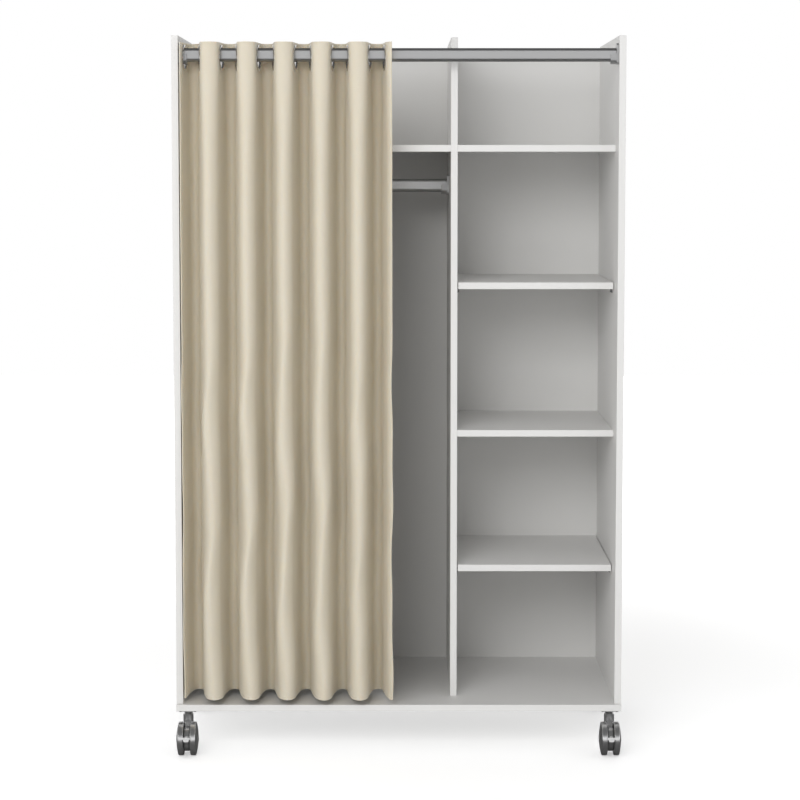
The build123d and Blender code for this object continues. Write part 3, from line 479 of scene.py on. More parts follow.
class Drape:
    """The folds of the hanging curtain, seen from above and down its height."""

    # Sway of each front fold, and how far its tip leans to the left, from left to right
    sway_front = (3.6 * MM, 4.1 * MM, 4.1 * MM, 3.5 * MM, 1.8 * MM)
    tip_lean = (2.6 * MM, 1.4 * MM, 0.6 * MM, 0.2 * MM, 0.0)
    sway_behind = 1.6 * MM
    sway_hem = 1.1 * MM
    # Heights below the rail in metres, and the spans in which the folds change
    sway_centre = 0.8975
    least_lag, lag_range = 0.5, 0.5
    front_phase = 0.5
    rear_phase = 2.0
    sway_power = 1.3
    least_sway = 0.12
    still_shares = (0.5, 4.0)
    ripple, ripple_wave = 0.8 * MM, 0.19
    billow, billow_wave = 1.6 * MM, 0.37
    clear_share = 1.1
    fine_share = 1.25
    left_softness = 0.45
    swell_span = (-0.05, 0.1)
    hem_swell_span = (0.3, 1.3)
    hem_rows_share = 1.5
    soft_steps = 240

    def __init__(self, settings):
        self.settings = settings
        boxes = [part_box(name) for name in EYELETS]
        first_low, first_high = boxes[0]
        self.xs = [(low.x + high.x) / 2 for low, high in boxes]
        self.rail_y = (first_low.y + first_high.y) / 2
        self.eyelet_z = (first_low.z + first_high.z) / 2
        self.ring = (first_high.z - first_low.z) / 2
        low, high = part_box("curtain_cloth")
        self.hem_z, self.top_z = low.z, high.z
        self.half = settings.thickness / 2
        self.reach = (high.y - low.y) / 2 - self.half
        self.gap_behind = self.xs[1] - self.xs[0]
        self.gap_front = self.xs[2] - self.xs[1]
        low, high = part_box("curtain_rail")
        self.rail_z = (low.z + high.z) / 2

    def fold_radius(self, gap):
        """Radius of the round fold over a gap between eyelets."""
        lean = self.settings.lean
        return (gap / 2 * math.cos(lean) - self.reach * math.sin(lean)) / (1 - math.sin(lean))

    def flank_length(self, gap):
        """Length of the straight flank from an eyelet to the fold over that gap."""
        lean = self.settings.lean
        return gap / 2 * math.sin(lean) + (self.reach - self.fold_radius(gap)) * math.cos(lean)

    def flank(self, k, gap, before):
        """The straight flank before or after an eyelet, from its left end to its right end."""
        lean = self.settings.lean
        along = 1 if k % 2 == 0 else -1
        way = Vector((math.sin(lean), along * math.cos(lean)))
        middle = Vector((self.xs[k], self.rail_y))
        far = middle + way * self.flank_length(gap) * (-1 if before else 1)
        start, end = (far, middle) if before else (middle, far)
        count = max(2, math.ceil((end - start).length / self.settings.column_step))
        return [start.lerp(end, i / count) for i in range(count + 1)]

    def arc(self, centre, radius, start, end):
        """Points on an arc between two angles, about a column step apart."""
        count = max(2, math.ceil(abs(end - start) * radius / self.settings.column_step))
        angles = [start + (end - start) * i / count for i in range(count + 1)]
        return [centre + Vector((math.cos(a), math.sin(a))) * radius for a in angles]

    def fold(self, k):
        """The round fold between eyelet k and the next one, from left to right."""
        lean = self.settings.lean
        behind = k % 2 == 0
        side = 1 if behind else -1
        radius = self.fold_radius(self.gap_behind if behind else self.gap_front)
        middle = (self.xs[k] + self.xs[k + 1]) / 2
        centre = Vector((middle, self.rail_y + side * (self.reach - radius)))
        end = lean if behind else TURN - lean
        return self.arc(centre, radius, math.pi - side * lean, end)

    def side_hem(self, left):
        """The curl of the cloth at its left or right side hem, in front of the rail."""
        lean = self.settings.lean
        radius = self.fold_radius(self.gap_front)
        y = self.rail_y - self.reach + radius
        if left:
            centre = Vector((self.xs[0] - self.gap_front / 2, y))
            return self.arc(centre, radius, -lean - self.settings.left_turn, -lean)
        centre = Vector((self.xs[-1] + self.gap_front / 2, y))
        return self.arc(centre, radius, math.pi + lean, math.pi + lean + self.settings.right_turn)

    def strip(self, index):
        """The line of one strip from eyelet to eyelet; the first and last end in a side hem."""
        gap = self.gap_behind if index % 2 == 1 else self.gap_front
        last = len(self.xs)
        runs = [self.side_hem(True) if index == 0 else self.flank(index - 1, gap, False)]
        if 0 < index < last:
            runs.append(self.fold(index - 1))
        runs.append(self.side_hem(False) if index == last else self.flank(index, gap, True))
        points = list(runs[0])
        for run in runs[1:]:
            points += run[1:]
        return points

    def relaxed(self, index, lengths):
        """The same strip as part of a wave, at the same shares of the cloth's length."""
        front = index % 2 == 0
        gap = self.gap_front if front else self.gap_behind
        left_x = self.xs[index - 1] if index > 0 else self.xs[0] - gap
        widening = self.settings.widening if front else 0.0
        wave, reached = [], [0.0]
        for i in range(self.soft_steps + 1):
            turned = math.pi * i / self.soft_steps
            across = turned / math.pi - widening * math.sin(2 * turned) / TURN
            depth = math.sin(turned) * self.reach * (-1 if front else 1)
            wave.append(Vector((left_x + gap * across, self.rail_y + depth)))
            if i:
                reached.append(reached[-1] + (wave[-1] - wave[-2]).length)
        sweep = math.pi - 2 * self.settings.lean
        ruled = 2 * self.flank_length(gap) + sweep * self.fold_radius(gap)
        skipped = ruled - lengths[-1] if index == 0 else 0.0
        points, step = [], 0
        for done in lengths:
            target = min(1.0, (skipped + done) / ruled) * reached[-1]
            while step < self.soft_steps - 1 and reached[step + 1] < target:
                step += 1
            part = (target - reached[step]) / (reached[step + 1] - reached[step])
            points.append(wave[step].lerp(wave[step + 1], max(0.0, min(1.0, part))))
        return points

    def relax(self, index, point, soft, z):
        """A point between the ruled fold and the relaxed one, by its height."""
        s = self.settings
        below = self.eyelet_z - self.ring * self.clear_share - z
        softened = s.softness * smooth_step(0.0, s.soften_drop, below)
        softened *= self.left_softness if index == 0 else 1.0
        mixed = point.lerp(soft, softened)
        off = (mixed.y - self.rail_y) / self.reach
        if off < 0.0 and index > 0:
            swell = s.swell * smooth_step(*self.swell_span, below)
            swell += (s.hem_swell - s.swell) * smooth_step(*self.hem_swell_span, self.rail_z - z)
            mixed.y += off * self.reach * swell * off * off
            fold = min(index // 2, len(self.tip_lean)) - 1
            tip = max(0.0, (-off - s.tip_start) / (1.0 - s.tip_start))
            mixed.x -= self.tip_lean[fold] * tip * tip
        return mixed

    def rows(self):
        """Heights of the mesh rows, close together in the hems and about the eyelets."""
        s = self.settings
        hem_rows = round(s.hem_width * self.hem_rows_share / s.hem_step)
        fine_from = self.eyelet_z - self.ring * self.fine_share
        low = [self.hem_z + s.hem_step * i for i in range(hem_rows + 1)]
        high = [self.top_z - s.hem_step * i for i in range(hem_rows + 1)][::-1]
        count = math.ceil((fine_from - low[-1]) / s.row_step)
        middle = [low[-1] + (fine_from - low[-1]) * i / count for i in range(1, count + 1)]
        count = math.ceil((high[0] - fine_from) / s.fine_step)
        fine = [fine_from + (high[0] - fine_from) * i / count for i in range(1, count)]
        return low + middle + fine + high

    def sway(self, index, point, z, habit):
        """How far the cloth of a strip stands from its ruled fold, at a height."""
        s = self.settings
        reach, lag, start, small = habit
        drop = self.rail_z - z
        weight = abs((point.y - self.rail_y) / self.reach) ** self.sway_power
        grown_sway = (1.0 - self.least_sway) * smooth_step(s.sway_start, s.sway_full, drop)
        amount = self.least_sway + grown_sway
        amount *= smooth_step(*(self.ring * part for part in self.still_shares), drop)
        mid = (self.xs[max(0, index - 1)] + self.xs[min(index, len(self.xs) - 1)]) / 2
        beside = (point.x - mid) / self.fold_radius(self.gap_front)
        phase = TURN * (drop - self.sway_centre) / s.sway_wave + lag * beside + start
        x = reach * math.sin(phase)
        x += self.ripple * math.sin(TURN * drop / self.ripple_wave + small + beside)
        y = self.billow * math.sin(TURN * drop / self.billow_wave + small * 2) * weight
        return Vector((x * weight * amount, y * amount))

    def habit(self, index, draw):
        """How one fold sways: its reach, lag, phase and the phase of its small waves."""
        front = index % 2 == 0
        reach = self.sway_behind
        if index in (0, len(self.xs)):
            reach = self.sway_hem
        elif front:
            reach = self.sway_front[index // 2 - 1]
        lag = self.least_lag + self.lag_range * draw.random()
        phase = (draw.random() - 0.5) * (self.front_phase if front else self.rear_phase)
        return reach, lag, phase, draw.random() * TURN

    def surface(self, index, draw):
        """Grid of points and face normals of a strip, columns by rows, with its lengths."""
        line = self.strip(index)
        habit = self.habit(index, draw)
        rows = self.rows()
        lengths = [0.0]
        for a, b in zip(line, line[1:]):
            lengths.append(lengths[-1] + (b - a).length)
        grid = []
        for point, soft in zip(line, self.relaxed(index, lengths)):
            column = []
            for z in rows:
                hung = self.relax(index, point, soft, z)
                moved = hung + self.sway(index, hung, z, habit)
                column.append(Vector((moved.x, moved.y, z)))
            grid.append(column)
        normals = []
        last, top = len(line) - 1, len(rows) - 1
        for i in range(len(line)):
            column = []
            for j in range(len(rows)):
                along = grid[min(i + 1, last)][j] - grid[max(i - 1, 0)][j]
                up = grid[i][min(j + 1, top)] - grid[i][max(j - 1, 0)]
                column.append(along.cross(up).normalized())
            normals.append(column)
        return grid, normals, rows, lengths


class ClothStrip:
    """One strip of the curtain, between two eyelets or at a side hem."""

    stitch_share = 0.75
    hem_edges = (0.8, 1.2)
    stitch_dent, stitch_reach = 0.3 * MM, 0.6 * MM
    face_puff = 0.15 * MM
    seam_sink = 0.05 * MM
    hole_share, hole_margin = 0.835, 0.9 * MM

    def __init__(self, drape, index, draw):
        self.drape, self.index = drape, index
        self.grid, self.normals, self.rows, self.lengths = drape.surface(index, draw)
        self.first, self.last = index == 0, index == len(drape.xs)

    def hem(self, i, j):
        """One inside a hem and nothing past it, with the distance from the nearest edge."""
        drape, width = self.drape, self.drape.settings.hem_width
        edges = [self.rows[j] - drape.hem_z, drape.top_z - self.rows[j]]
        if self.first:
            edges.append(self.lengths[i])
        if self.last:
            edges.append(self.lengths[-1] - self.lengths[i])
        nearest = min(edges)
        limits = (width * part for part in self.hem_edges)
        return 1.0 - smooth_step(*limits, nearest), nearest

    def from_hole(self, i, j):
        """How far a grid point lies from the middle of the nearest eyelet."""
        centres = ([] if self.first else [0.0]) + ([] if self.last else [self.lengths[-1]])
        return min(math.hypot(self.lengths[i] - c, self.rows[j] - self.drape.eyelet_z)
                   for c in centres)

    def skin(self, start_length):
        """Points and UVs of the face side and then the rear side."""
        s = self.drape.settings
        vertices, uvs = [], []
        for side in (1, -1):
            for i, (column, outward) in enumerate(zip(self.grid, self.normals)):
                for j, z in enumerate(self.rows):
                    inside, nearest = self.hem(i, j)
                    puff = self.drape.half
                    if side > 0:
                        off = (nearest - s.hem_width * self.stitch_share) / self.stitch_reach
                        puff += inside * self.face_puff - math.exp(-off ** 2) * self.stitch_dent
                    else:
                        puff += inside * s.hem_fold
                    vertices.append(column[j] + outward[j] * side * puff)
                    uvs.append((start_length + self.lengths[i], z))
        return vertices, uvs

    def shell(self, start_length, material):
        """The strip as a closed shell, with half a hole at each eyelet."""
        columns, height = len(self.grid), len(self.rows)
        hole = self.drape.ring * self.hole_share + self.hole_margin
        vertices, uvs = self.skin(start_length)
        layer = columns * height
        faces, rim = [], {}
        for i in range(columns - 1):
            for j in range(height - 1):
                if (self.from_hole(i, j) + self.from_hole(i + 1, j + 1)) / 2 < hole:
                    continue
                a, b = i * height + j, (i + 1) * height + j
                c, d = b + 1, a + 1
                faces.append((a, b, c, d))
                faces.append((layer + d, layer + c, layer + b, layer + a))
                for p, q in ((a, b), (b, c), (c, d), (d, a)):
                    if (q, p) in rim:
                        rim.pop((q, p))
                    else:
                        rim[(p, q)] = True
        walls = set(range(len(faces), len(faces) + len(rim)))
        faces += [(q, p, layer + p, layer + q) for p, q in rim]
        used = sorted({vertex for face in faces for vertex in face})
        order = {vertex: index for index, vertex in enumerate(used)}
        sharp = [(order[base + p], order[base + q]) for p, q in rim for base in (0, layer)]
        return mesh_object(f"curtain_strip_{self.index + 1:02d}", [vertices[v] for v in used],
                           [tuple(order[v] for v in face) for face in faces], material, sharp,
                           [uvs[v] for v in used], walls)

    def seams(self):
        """Where the hem stitches run, as lists of points on the face side."""
        drape = self.drape
        inset = drape.settings.hem_width * self.stitch_share
        lift = drape.half - self.seam_sink
        columns, height = range(len(self.grid)), range(len(self.rows))
        lines = []
        for target in (drape.hem_z + inset, drape.top_z - inset):
            j = min(height, key=lambda row: abs(self.rows[row] - target))
            lines.append([(i, j) for i in columns])
        sides = [inset] if self.first else []
        sides += [self.lengths[-1] - inset] if self.last else []
        for target in sides:
            i = min(columns, key=lambda column: abs(self.lengths[column] - target))
            lines.append([(i, j) for j in height])
        return [[self.grid[i][j] + self.normals[i][j] * lift for i, j in line]
                for line in lines]


def open_tree(name, **inputs):
    """A geometry tree with named inputs, each of a given kind."""
    tree = bpy.data.node_groups.new(name, "GeometryNodeTree")
    for label, kind in {"Geometry": "Geometry", **inputs, "Material": "Material"}.items():
        tree.interface.new_socket(name=label.replace("_", " "), in_out="INPUT",
                                  socket_type=f"NodeSocket{kind}")
    tree.interface.new_socket(name="Geometry", in_out="OUTPUT", socket_type="NodeSocketGeometry")
    return tree, tree.nodes.new("NodeGroupInput").outputs


def scatter(tree, points, shape, facing, axis_name, **inputs):
    """Copies of a shape on points, each with one axis turned along a direction."""
    turned = made(tree, "FunctionNodeAlignRotationToVector", {"axis": axis_name}, Vector=facing)
    return made(tree, "GeometryNodeInstanceOnPoints", Points=points, Instance=shape,
                Rotation=turned, **inputs)


def close_tree(tree, geometry, material):
    """Ends a tree in real geometry with its material."""
    real = made(tree, "GeometryNodeRealizeInstances", Geometry=geometry)
    finished = made(tree, "GeometryNodeSetMaterial", Geometry=real, Material=material)
    add(tree, "NodeGroupOutput", Geometry=finished)
    return tree


def stitch_tree():
    """Geometry nodes that lay stitches end to end along lines."""
    tree, given = open_tree("hem_stitches", Pitch="Float", Stitch_Length="Float",
                            Thread_Radius="Float")
    curve = made(tree, "GeometryNodeMeshToCurve", Mesh=given["Geometry"])
    spaced = made(tree, "GeometryNodeResampleCurve", {"mode": "LENGTH"}, Curve=curve,
                  Length=given["Pitch"])
    ball = made(tree, "GeometryNodeMeshUVSphere", Segments=6, Rings=5, Radius=1.0)
    radius = given["Thread Radius"]
    half = calculate(tree, "MULTIPLY", given["Stitch Length"], 0.5)
    size = made(tree, "ShaderNodeCombineXYZ", X=radius, Y=radius, Z=half)
    tangent = made(tree, "GeometryNodeInputTangent")
    placed = scatter(tree, spaced, ball, tangent, "Z", Scale=size)
    return close_tree(tree, placed, given["Material"])


def rib_tree():
    """Geometry nodes that set flat ribs like spokes round an axle along X."""
    tree, given = open_tree("wheel_ribs", Count="Int", Inner_Radius="Float",
                            Outer_Radius="Float", Thickness="Float", Depth="Float",
                            Centre="Vector")
    outer, inner = given["Outer Radius"], given["Inner Radius"]
    middle = calculate(tree, "MULTIPLY", calculate(tree, "ADD", outer, inner), 0.5)
    circle = made(tree, "GeometryNodeMeshCircle", Vertices=given["Count"], Radius=middle)
    size = made(tree, "ShaderNodeCombineXYZ", X=calculate(tree, "SUBTRACT", outer, inner),
                Y=given["Thickness"], Z=given["Depth"])
    rib = made(tree, "GeometryNodeMeshCube", Size=size)
    outward = made(tree, "GeometryNodeInputPosition")
    placed = scatter(tree, circle, rib, outward, "X")
    moved = made(tree, "GeometryNodeTransform", Geometry=placed, Translation=given["Centre"],
                 Rotation=(0.0, math.pi / 2, 0.0))
    return close_tree(tree, moved, given["Material"])


def grown(name, base, tree, smooth, inputs):
    """The plain mesh that a geometry tree makes on a base mesh."""
    source = link_object(name + "_base", base)
    modifier = source.modifiers.new("grow", "NODES")
    modifier.node_group = tree
    for item in tree.interface.items_tree:
        if item.item_type == "SOCKET" and item.in_out == "INPUT" and item.name in inputs:
            modifier[item.identifier] = inputs[item.name]
    graph = bpy.context.evaluated_depsgraph_get()
    mesh = bpy.data.meshes.new_from_object(source.evaluated_get(graph))
    bpy.data.objects.remove(source)
    mesh.name = name
    mesh.polygons.foreach_set("use_smooth", [smooth] * len(mesh.polygons))
    return link_object(name, mesh)


def polyline_mesh(name, lines):
    """A mesh of edges only, one chain for each line."""
    vertices, edges = [], []
    for line in lines:
        first = len(vertices)
        vertices += line
        edges += [(first + i, first + i + 1) for i in range(len(line) - 1)]
    mesh = bpy.data.meshes.new(name)
    mesh.from_pydata(vertices, edges, [])
    return mesh


def between_rings(count, rings):
    """Faces that join each ring of points to the next one."""
    return [(ring * count + i, ring * count + (i + 1) % count,
             (ring + 1) * count + (i + 1) % count, (ring + 1) * count + i)
            for ring in range(rings - 1) for i in range(count)]


def hub_cap(name, centre, side, sizes, material):
    """A low domed cap on the outer side of a wheel, closed at the back."""
    # Shares of the cap's radius and height, from its hidden foot to its crown
    profile_shares = ((1.0, -1.0), (1.0, 0.3), (0.97, 0.6), (0.9, 0.8), (0.5, 0.97))
    radius, height, steps = sizes.cap_radius, sizes.cap_height, sizes.cap_steps
    vertices = []
    for out, rise in profile_shares:
        for i in range(steps):
            turned = TURN * i / steps
            across, up = math.cos(turned), math.sin(turned)
            offset = (side * height * rise, radius * out * across, radius * out * up * side)
            vertices.append(centre + Vector(offset))
    faces = between_rings(steps, len(profile_shares))
    crown = (len(profile_shares) - 1) * steps
    top, back = len(vertices), len(vertices) + 1
    vertices += [centre + Vector((way * height, 0.0, 0.0)) for way in (side, -side)]
    ring = [(i, (i + 1) % steps) for i in range(steps)]
    for i, after in ring:
        faces.append((crown + i, crown + after, top))
        faces.append((after, i, back))
    return mesh_object(name, vertices, faces, material, ring)


def pedal_lip(name, lever, sizes, material):
    """A rounded lip that hangs from the front of a brake pedal."""
    low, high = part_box(lever)
    middle = (low + high) / 2
    half, corner, steps = sizes.lip_width / 2, sizes.lip_corner, sizes.lip_steps
    bottom = middle.z - sizes.lip_drop
    angles = [math.pi / 2 * i / steps for i in range(steps + 1)]
    outline = []
    for side, turns in ((-1, angles), (1, reversed(angles))):
        outline += [(side * (half - corner + corner * math.cos(turned)),
                     bottom + corner - corner * math.sin(turned)) for turned in turns]
    outline += [(half, middle.z), (-half, middle.z)]
    front, edge = low.y + sizes.lip_setback, sizes.lip_edge
    layers = ((front, edge), (front + edge, 0.0), (front + sizes.lip_thickness, 0.0))
    vertices = []
    for y, inset in layers:
        shrink = 1.0 - inset / half
        vertices += [(middle.x + x * shrink, y, middle.z + (z - middle.z) * shrink)
                     for x, z in outline]
    count = len(outline)
    faces = [tuple(range(count)), tuple(reversed(range(count * 2, count * 3)))]
    faces += [(b, a, d, c) for a, b, c, d in between_rings(count, len(layers))]
    return mesh_object(name, vertices, faces, material, flat={0, 1})


class WARDROBE_OT_boards(bpy.types.Operator):
    """Gives the boards their white facing and the back sheets their paint"""

    bl_idname = "wardrobe.boards"
    bl_label = "Finish boards"

    def execute(self, context):
        settings = context.scene.wardrobe_boards
        groups = {
            "side_board_facing": ["side_panel_left", "side_panel_right"],
            "bottom_board_facing": ["bottom_panel"],
            "inner_board_facing": ["divider_panel", "top_shelf_left", "top_shelf_right",
                                   "fixed_shelf_middle", "adjustable_shelf_upper",
                                   "adjustable_shelf_lower"],
        }
        for name, nodes in groups.items():
            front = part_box(nodes[0])[0].y
            dress(nodes, board_material(name, settings, front), "white_board")
        rear_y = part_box("back_sheet_left")[1].y
        backs = ["back_sheet_left", "back_sheet_right"]
        dress(backs, back_material(settings, rear_y), "back_board")
        return {"FINISHED"}


class WARDROBE_OT_fittings(bpy.types.Operator):
    """Finishes the screws, nails, locks, dowels and shelf pins"""

    bl_idname = "wardrobe.fittings"
    bl_label = "Finish fittings"

    def execute(self, context):
        settings = context.scene.wardrobe_metal
        plated = ["back_nails", "joint_screws", "bracket_screws", "cam_fittings"]
        plated += [f"{castor}_{part}" for castor in CASTORS for part in ("plate", "axle")]
        zinc = brushed_material("zinc_plate", settings.zinc, roughness=0.32, flecks=400.0)
        # Painted shade: near-black colour on the zinc castor screws stands in for the shade under
        # the plate.
        dark = brushed_material("screw_painted_shade", settings.screw_painted_shade, roughness=0.4, flecks=400.0)
        pins = moulded_material("pin_moulding", settings.pin, roughness=0.45, metallic=0.0,
                                grain=0.5 * MM)
        dress(plated, zinc, "zinc_steel")
        dress(["castor_screws"], dark, "zinc_steel")
        dress(["wood_dowels"], wood_material("beech_dowel", settings.beech), "dowel_wood")
        dress(["shelf_pins"], pins, "pin_plastic")
        return {"FINISHED"}


class WARDROBE_OT_rails(bpy.types.Operator):
    """Finishes both rails and their brackets"""

    bl_idname = "wardrobe.rails"
    bl_label = "Finish rails"

    def execute(self, context):
        settings = context.scene.wardrobe_metal
        for rail in ("curtain_rail", "hanging_rail"):
            satin = rail_material(f"{rail}_satin", settings, *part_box(rail))
            dress([rail], satin, "rail_steel")
        brackets = [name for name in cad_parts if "_bracket_" in name]
        cast = moulded_material("bracket_cast", settings.bracket, roughness=0.4, metallic=0.9)
        dress(brackets, cast, "bracket_steel")
        return {"FINISHED"}


class WARDROBE_OT_eyelets(bpy.types.Operator):
    """Finishes the twelve eyelets of the curtain"""

    bl_idname = "wardrobe.eyelets"
    bl_label = "Finish eyelets"

    def execute(self, context):
        tint = context.scene.wardrobe_metal.eyelet
        metal = brushed_material("eyelet_polish", tint, roughness=0.07, flecks=250.0,
                                 streak=0.02)
        dress(EYELETS, metal, "eyelet_chrome")
        return {"FINISHED"}


class WARDROBE_OT_castors(bpy.types.Operator):
    """Finishes the four castors"""

    bl_idname = "wardrobe.castors"
    bl_label = "Finish castors"
    slot = "castor_plastic"

    def execute(self, context):
        settings = context.scene.wardrobe_metal
        sizes = context.scene.wardrobe_castors
        finish = {"roughness": 0.29, "metallic": 0.96}
        shell = moulded_material("castor_moulding", settings.castor, **finish)
        tread = moulded_material("castor_tread", settings.tread, **finish)
        bright = moulded_material("lever_bright", settings.lever, roughness=0.3, metallic=0.25)
        for castor in CASTORS:
            dress([f"{castor}_housing"], shell, self.slot)
            dress([f"{castor}_wheel_{word}" for _, word in SIDES], tread, self.slot)
            lever = f"{castor}_brake_lever"
            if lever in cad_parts:
                dress([lever], bright, self.slot)
                lip = pedal_lip(f"{castor}_brake_lip", lever, sizes, bright)
                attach(lip, lever)
        tree = rib_tree()
        for castor in CASTORS:
            for side, word in SIDES:
                self.furnish(f"{castor}_wheel_{word}", side, sizes, tree, tread)
        return {"FINISHED"}

    def furnish(self, wheel, side, sizes, tree, material):
        """Puts ribs into a wheel's recess and a cap on its domed side."""
        low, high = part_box(wheel)
        inner, outer = (low.x, high.x) if side > 0 else (high.x, low.x)
        middle = (low + high) / 2
        x = inner + side * (sizes.rib_inset + sizes.rib_depth / 2)
        ribs = grown(f"{wheel}_ribs", bpy.data.meshes.new("hub"), tree, False, {
            "Count": sizes.rib_count, "Inner Radius": sizes.boss_radius,
            "Outer Radius": (high.z - low.z) / 2 - sizes.rim, "Thickness": sizes.rib_thickness,
            "Depth": sizes.rib_depth, "Centre": (x, middle.y, middle.z), "Material": material})
        cap = hub_cap(f"{wheel}_cap", Vector((outer, middle.y, middle.z)), side, sizes, material)
        for piece in (ribs, cap):
            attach(piece, wheel)


class WARDROBE_OT_curtain(bpy.types.Operator):
    """Hangs the folded curtain in strips between its eyelets, with hems and stitches"""

    bl_idname = "wardrobe.curtain"
    bl_label = "Hang curtain"
    seed = 11
    blend_inset = 4.0 * MM

    def execute(self, context):
        settings = context.scene.wardrobe_curtain
        drape = Drape(settings)
        cloth = cloth_material(settings)
        thread = thread_material("hem_thread", settings.thread)
        tree = stitch_tree()
        draw = random.Random(self.seed)
        total = 0.0
        for index in range(len(EYELETS) + 1):
            hung = ClothStrip(drape, index, draw)
            strip, width = hung.shell(total, cloth), hung.lengths[-1]
            total += width
            stitches = grown(f"curtain_stitches_{index + 1:02d}",
                             polyline_mesh("seams", hung.seams()), tree, True,
                             {"Pitch": settings.stitch_pitch, "Material": thread,
                              "Stitch Length": settings.stitch_length,
                              "Thread Radius": settings.thread_radius})
            for piece in (strip, stitches):
                self.hang(piece, drape, index)
            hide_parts("curtain_cloth")
        return {"FINISHED"}

    def hang(self, piece, drape, index):
        """Parents the first piece to the root and the last one to the last eyelet, and leaves the
        others fixed in place.
        """
        if index == 0:
            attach(piece, "root")
        elif index == len(EYELETS):
            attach(piece, EYELETS[-1])
        else:
            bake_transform(piece)


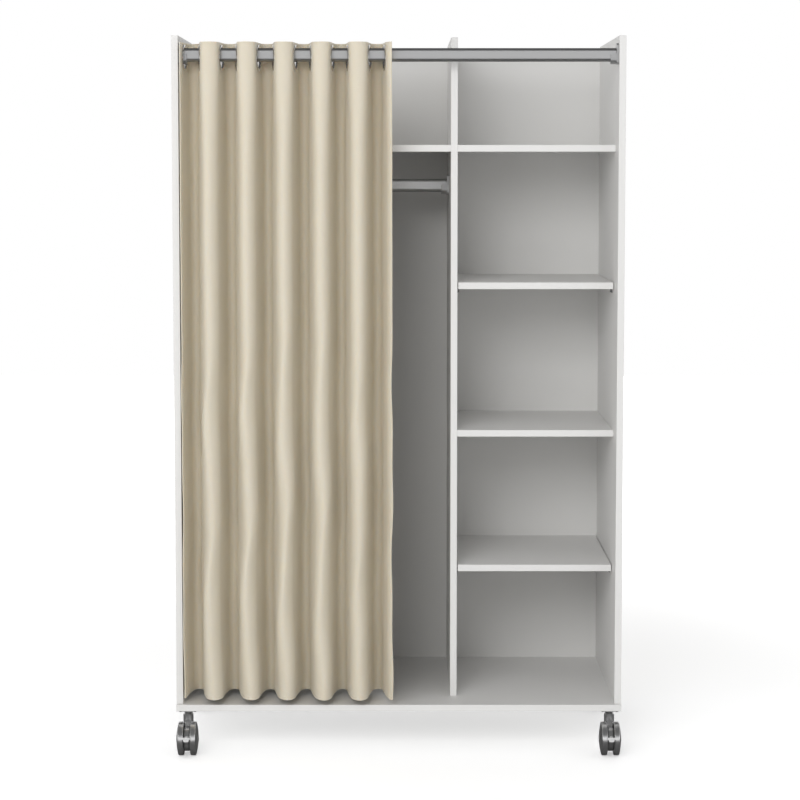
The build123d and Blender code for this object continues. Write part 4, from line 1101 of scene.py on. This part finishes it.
class WARDROBE_OT_stage(bpy.types.Operator):
    """Lays the pale floor, sets the soft studio light and stands the camera"""

    bl_idname = "wardrobe.stage"
    bl_label = "Set stage"
    # Widths, heights and places of the soft boxes, and the point that they face
    front_size, front_place = (1.2, 1.6), (-0.8, -5.0, 2.8)
    key_size, key_place = (1.6, 2.2), (-1.9, -4.2, 2.2)
    light_aim = (0.0, 0.0, 0.9)
    # Distances on the floor, and shares of the sky's height, between which the light changes
    glow_span = (1.0, 4.0)
    dome_span = (0.55, 0.95)
    room_span = (0.25, 0.5)
    clip_end = 100.0

    def execute(self, context):
        settings = context.scene.wardrobe_stage
        self.floor(settings)
        self.sky(context.scene, settings)
        self.soft_box("front_soft_box", settings.front_power, self.front_size, self.front_place)
        self.soft_box("key_soft_box", settings.key_power, self.key_size, self.key_place)
        self.camera(context.scene, settings)
        context.scene.view_settings.view_transform = "Standard"
        return {"FINISHED"}

    def floor(self, settings):
        """A wide pale floor with a faint mottle, which metal mirrors darker."""
        material, tree, shader = new_material("floor_paint")
        cloud = noise(tree, scale=1.5, detail=3.0)
        path = tree.nodes.new("ShaderNodeLightPath").outputs
        away = add(tree, "ShaderNodeVectorMath", {"operation": "LENGTH"}, Vector=place(tree))
        fade = ramp(tree, away.outputs["Value"], self.glow_span, (settings.floor_seen, 1.0))
        glow = calculate(tree, "MULTIPLY_ADD", path["Is Camera Ray"], fade, settings.floor_glow)
        feed(shader, Base_Color=tones(tree, cloud, settings.floor_colour, dark=0.99, light=1.0),
             Roughness=spread(tree, cloud, low=0.6, high=0.7),
             Emission_Color=(1.0, 1.0, 1.0, 1.0), Emission_Strength=glow)
        dark = made(tree, "ShaderNodeBsdfDiffuse", Color=shade(settings.floor_mirrored))
        output = next(node for node in tree.nodes if node.type == "OUTPUT_MATERIAL")
        feed(output, Surface=switch(tree, path["Is Glossy Ray"], shader.outputs[0], dark))
        half = settings.floor_half
        corners = [(-half, -half, 0.0), (half, -half, 0.0), (half, half, 0.0), (-half, half, 0.0)]
        mesh_object("floor", corners, [(0, 1, 2, 3)], material)

    def sky(self, scene, settings):
        """Even white light, dimmer overhead; metal mirrors a darker room, the camera sees white."""
        world = bpy.data.worlds.new("studio")
        scene.world = world
        world.use_nodes = True
        tree = world.node_tree
        tree.nodes.clear()
        up = axis(tree, "Z", "Generated")
        strong, white = settings.sky_strength, shade(settings.sky_colour)
        dome = ramp(tree, up, self.dome_span, (strong, strong * settings.zenith_share))
        room = ramp(tree, up, self.room_span, (settings.mirror_strength, settings.mirror_dark))
        path = tree.nodes.new("ShaderNodeLightPath").outputs
        seen = shade((1.0, 1.0, 1.0))
        lit = made(tree, "ShaderNodeBackground", Color=white, Strength=dome)
        mirrored = made(tree, "ShaderNodeBackground", Color=white, Strength=room)
        bright = made(tree, "ShaderNodeBackground", Color=seen, Strength=1.0)
        shader = switch(tree, path["Is Glossy Ray"], lit, mirrored)
        shader = switch(tree, path["Is Camera Ray"], shader, bright)
        add(tree, "ShaderNodeOutputWorld", Surface=shader)

    def soft_box(self, name, power, size, place_at):
        """A soft box that faces the wardrobe."""
        lamp = bpy.data.lights.new(name, "AREA")
        lamp.shape = "RECTANGLE"
        lamp.size, lamp.size_y = size
        lamp.energy = power
        box = link_object(name, lamp)
        box.location = place_at
        aim = Vector(self.light_aim) - box.location
        box.rotation_euler = aim.to_track_quat("-Z", "Y").to_euler()
        box.visible_camera = False
        box.visible_glossy = False

    def camera(self, scene, settings):
        """The camera at the photograph's place and angle."""
        lens = bpy.data.cameras.new("camera")
        lens.lens = settings.lens
        lens.shift_y = settings.lens_shift
        lens.clip_end = self.clip_end
        camera = link_object("camera", lens)
        camera.location = (settings.camera_x, -settings.camera_y, settings.camera_z)
        camera.rotation_euler = (math.pi / 2 - settings.camera_pitch, 0.0, 0.0)
        scene.camera = camera


class WARDROBE_PT_panel(bpy.types.Panel):
    """Lists the wardrobe's operators and settings"""

    bl_label = "Wardrobe"
    bl_idname = "WARDROBE_PT_panel"
    bl_space_type = "VIEW_3D"
    bl_region_type = "UI"
    bl_category = "Wardrobe"

    def draw(self, context):
        for operator in OPERATORS:
            self.layout.operator(operator.bl_idname)
        for name, group in SETTINGS.items():
            box = self.layout.box()
            settings = getattr(context.scene, name)
            for item in group.__annotations__:
                box.prop(settings, item)


OPERATORS = (WARDROBE_OT_stage, WARDROBE_OT_boards, WARDROBE_OT_fittings, WARDROBE_OT_rails,
             WARDROBE_OT_eyelets, WARDROBE_OT_castors, WARDROBE_OT_curtain)
SETTINGS = {
    "wardrobe_stage": StageSettings,
    "wardrobe_boards": BoardSettings,
    "wardrobe_metal": MetalSettings,
    "wardrobe_castors": CastorSettings,
    "wardrobe_curtain": CurtainSettings,
}


def register():
    """Registers the settings, the operators and the panel."""
    for name, group in SETTINGS.items():
        bpy.utils.register_class(group)
        setattr(bpy.types.Scene, name, PointerProperty(type=group))
    for item in (*OPERATORS, WARDROBE_PT_panel):
        bpy.utils.register_class(item)


def unregister():
    """Takes the panel, the operators and the settings away again."""
    for item in (WARDROBE_PT_panel, *reversed(OPERATORS)):
        bpy.utils.unregister_class(item)
    for name, group in SETTINGS.items():
        delattr(bpy.types.Scene, name)
        bpy.utils.unregister_class(group)


def main():
    """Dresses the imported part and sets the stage."""
    register()
    bpy.ops.wardrobe.stage()
    bpy.ops.wardrobe.boards()
    bpy.ops.wardrobe.fittings()
    bpy.ops.wardrobe.rails()
    bpy.ops.wardrobe.eyelets()
    bpy.ops.wardrobe.castors()
    bpy.ops.wardrobe.curtain()


if __name__ == "__main__":
    main()
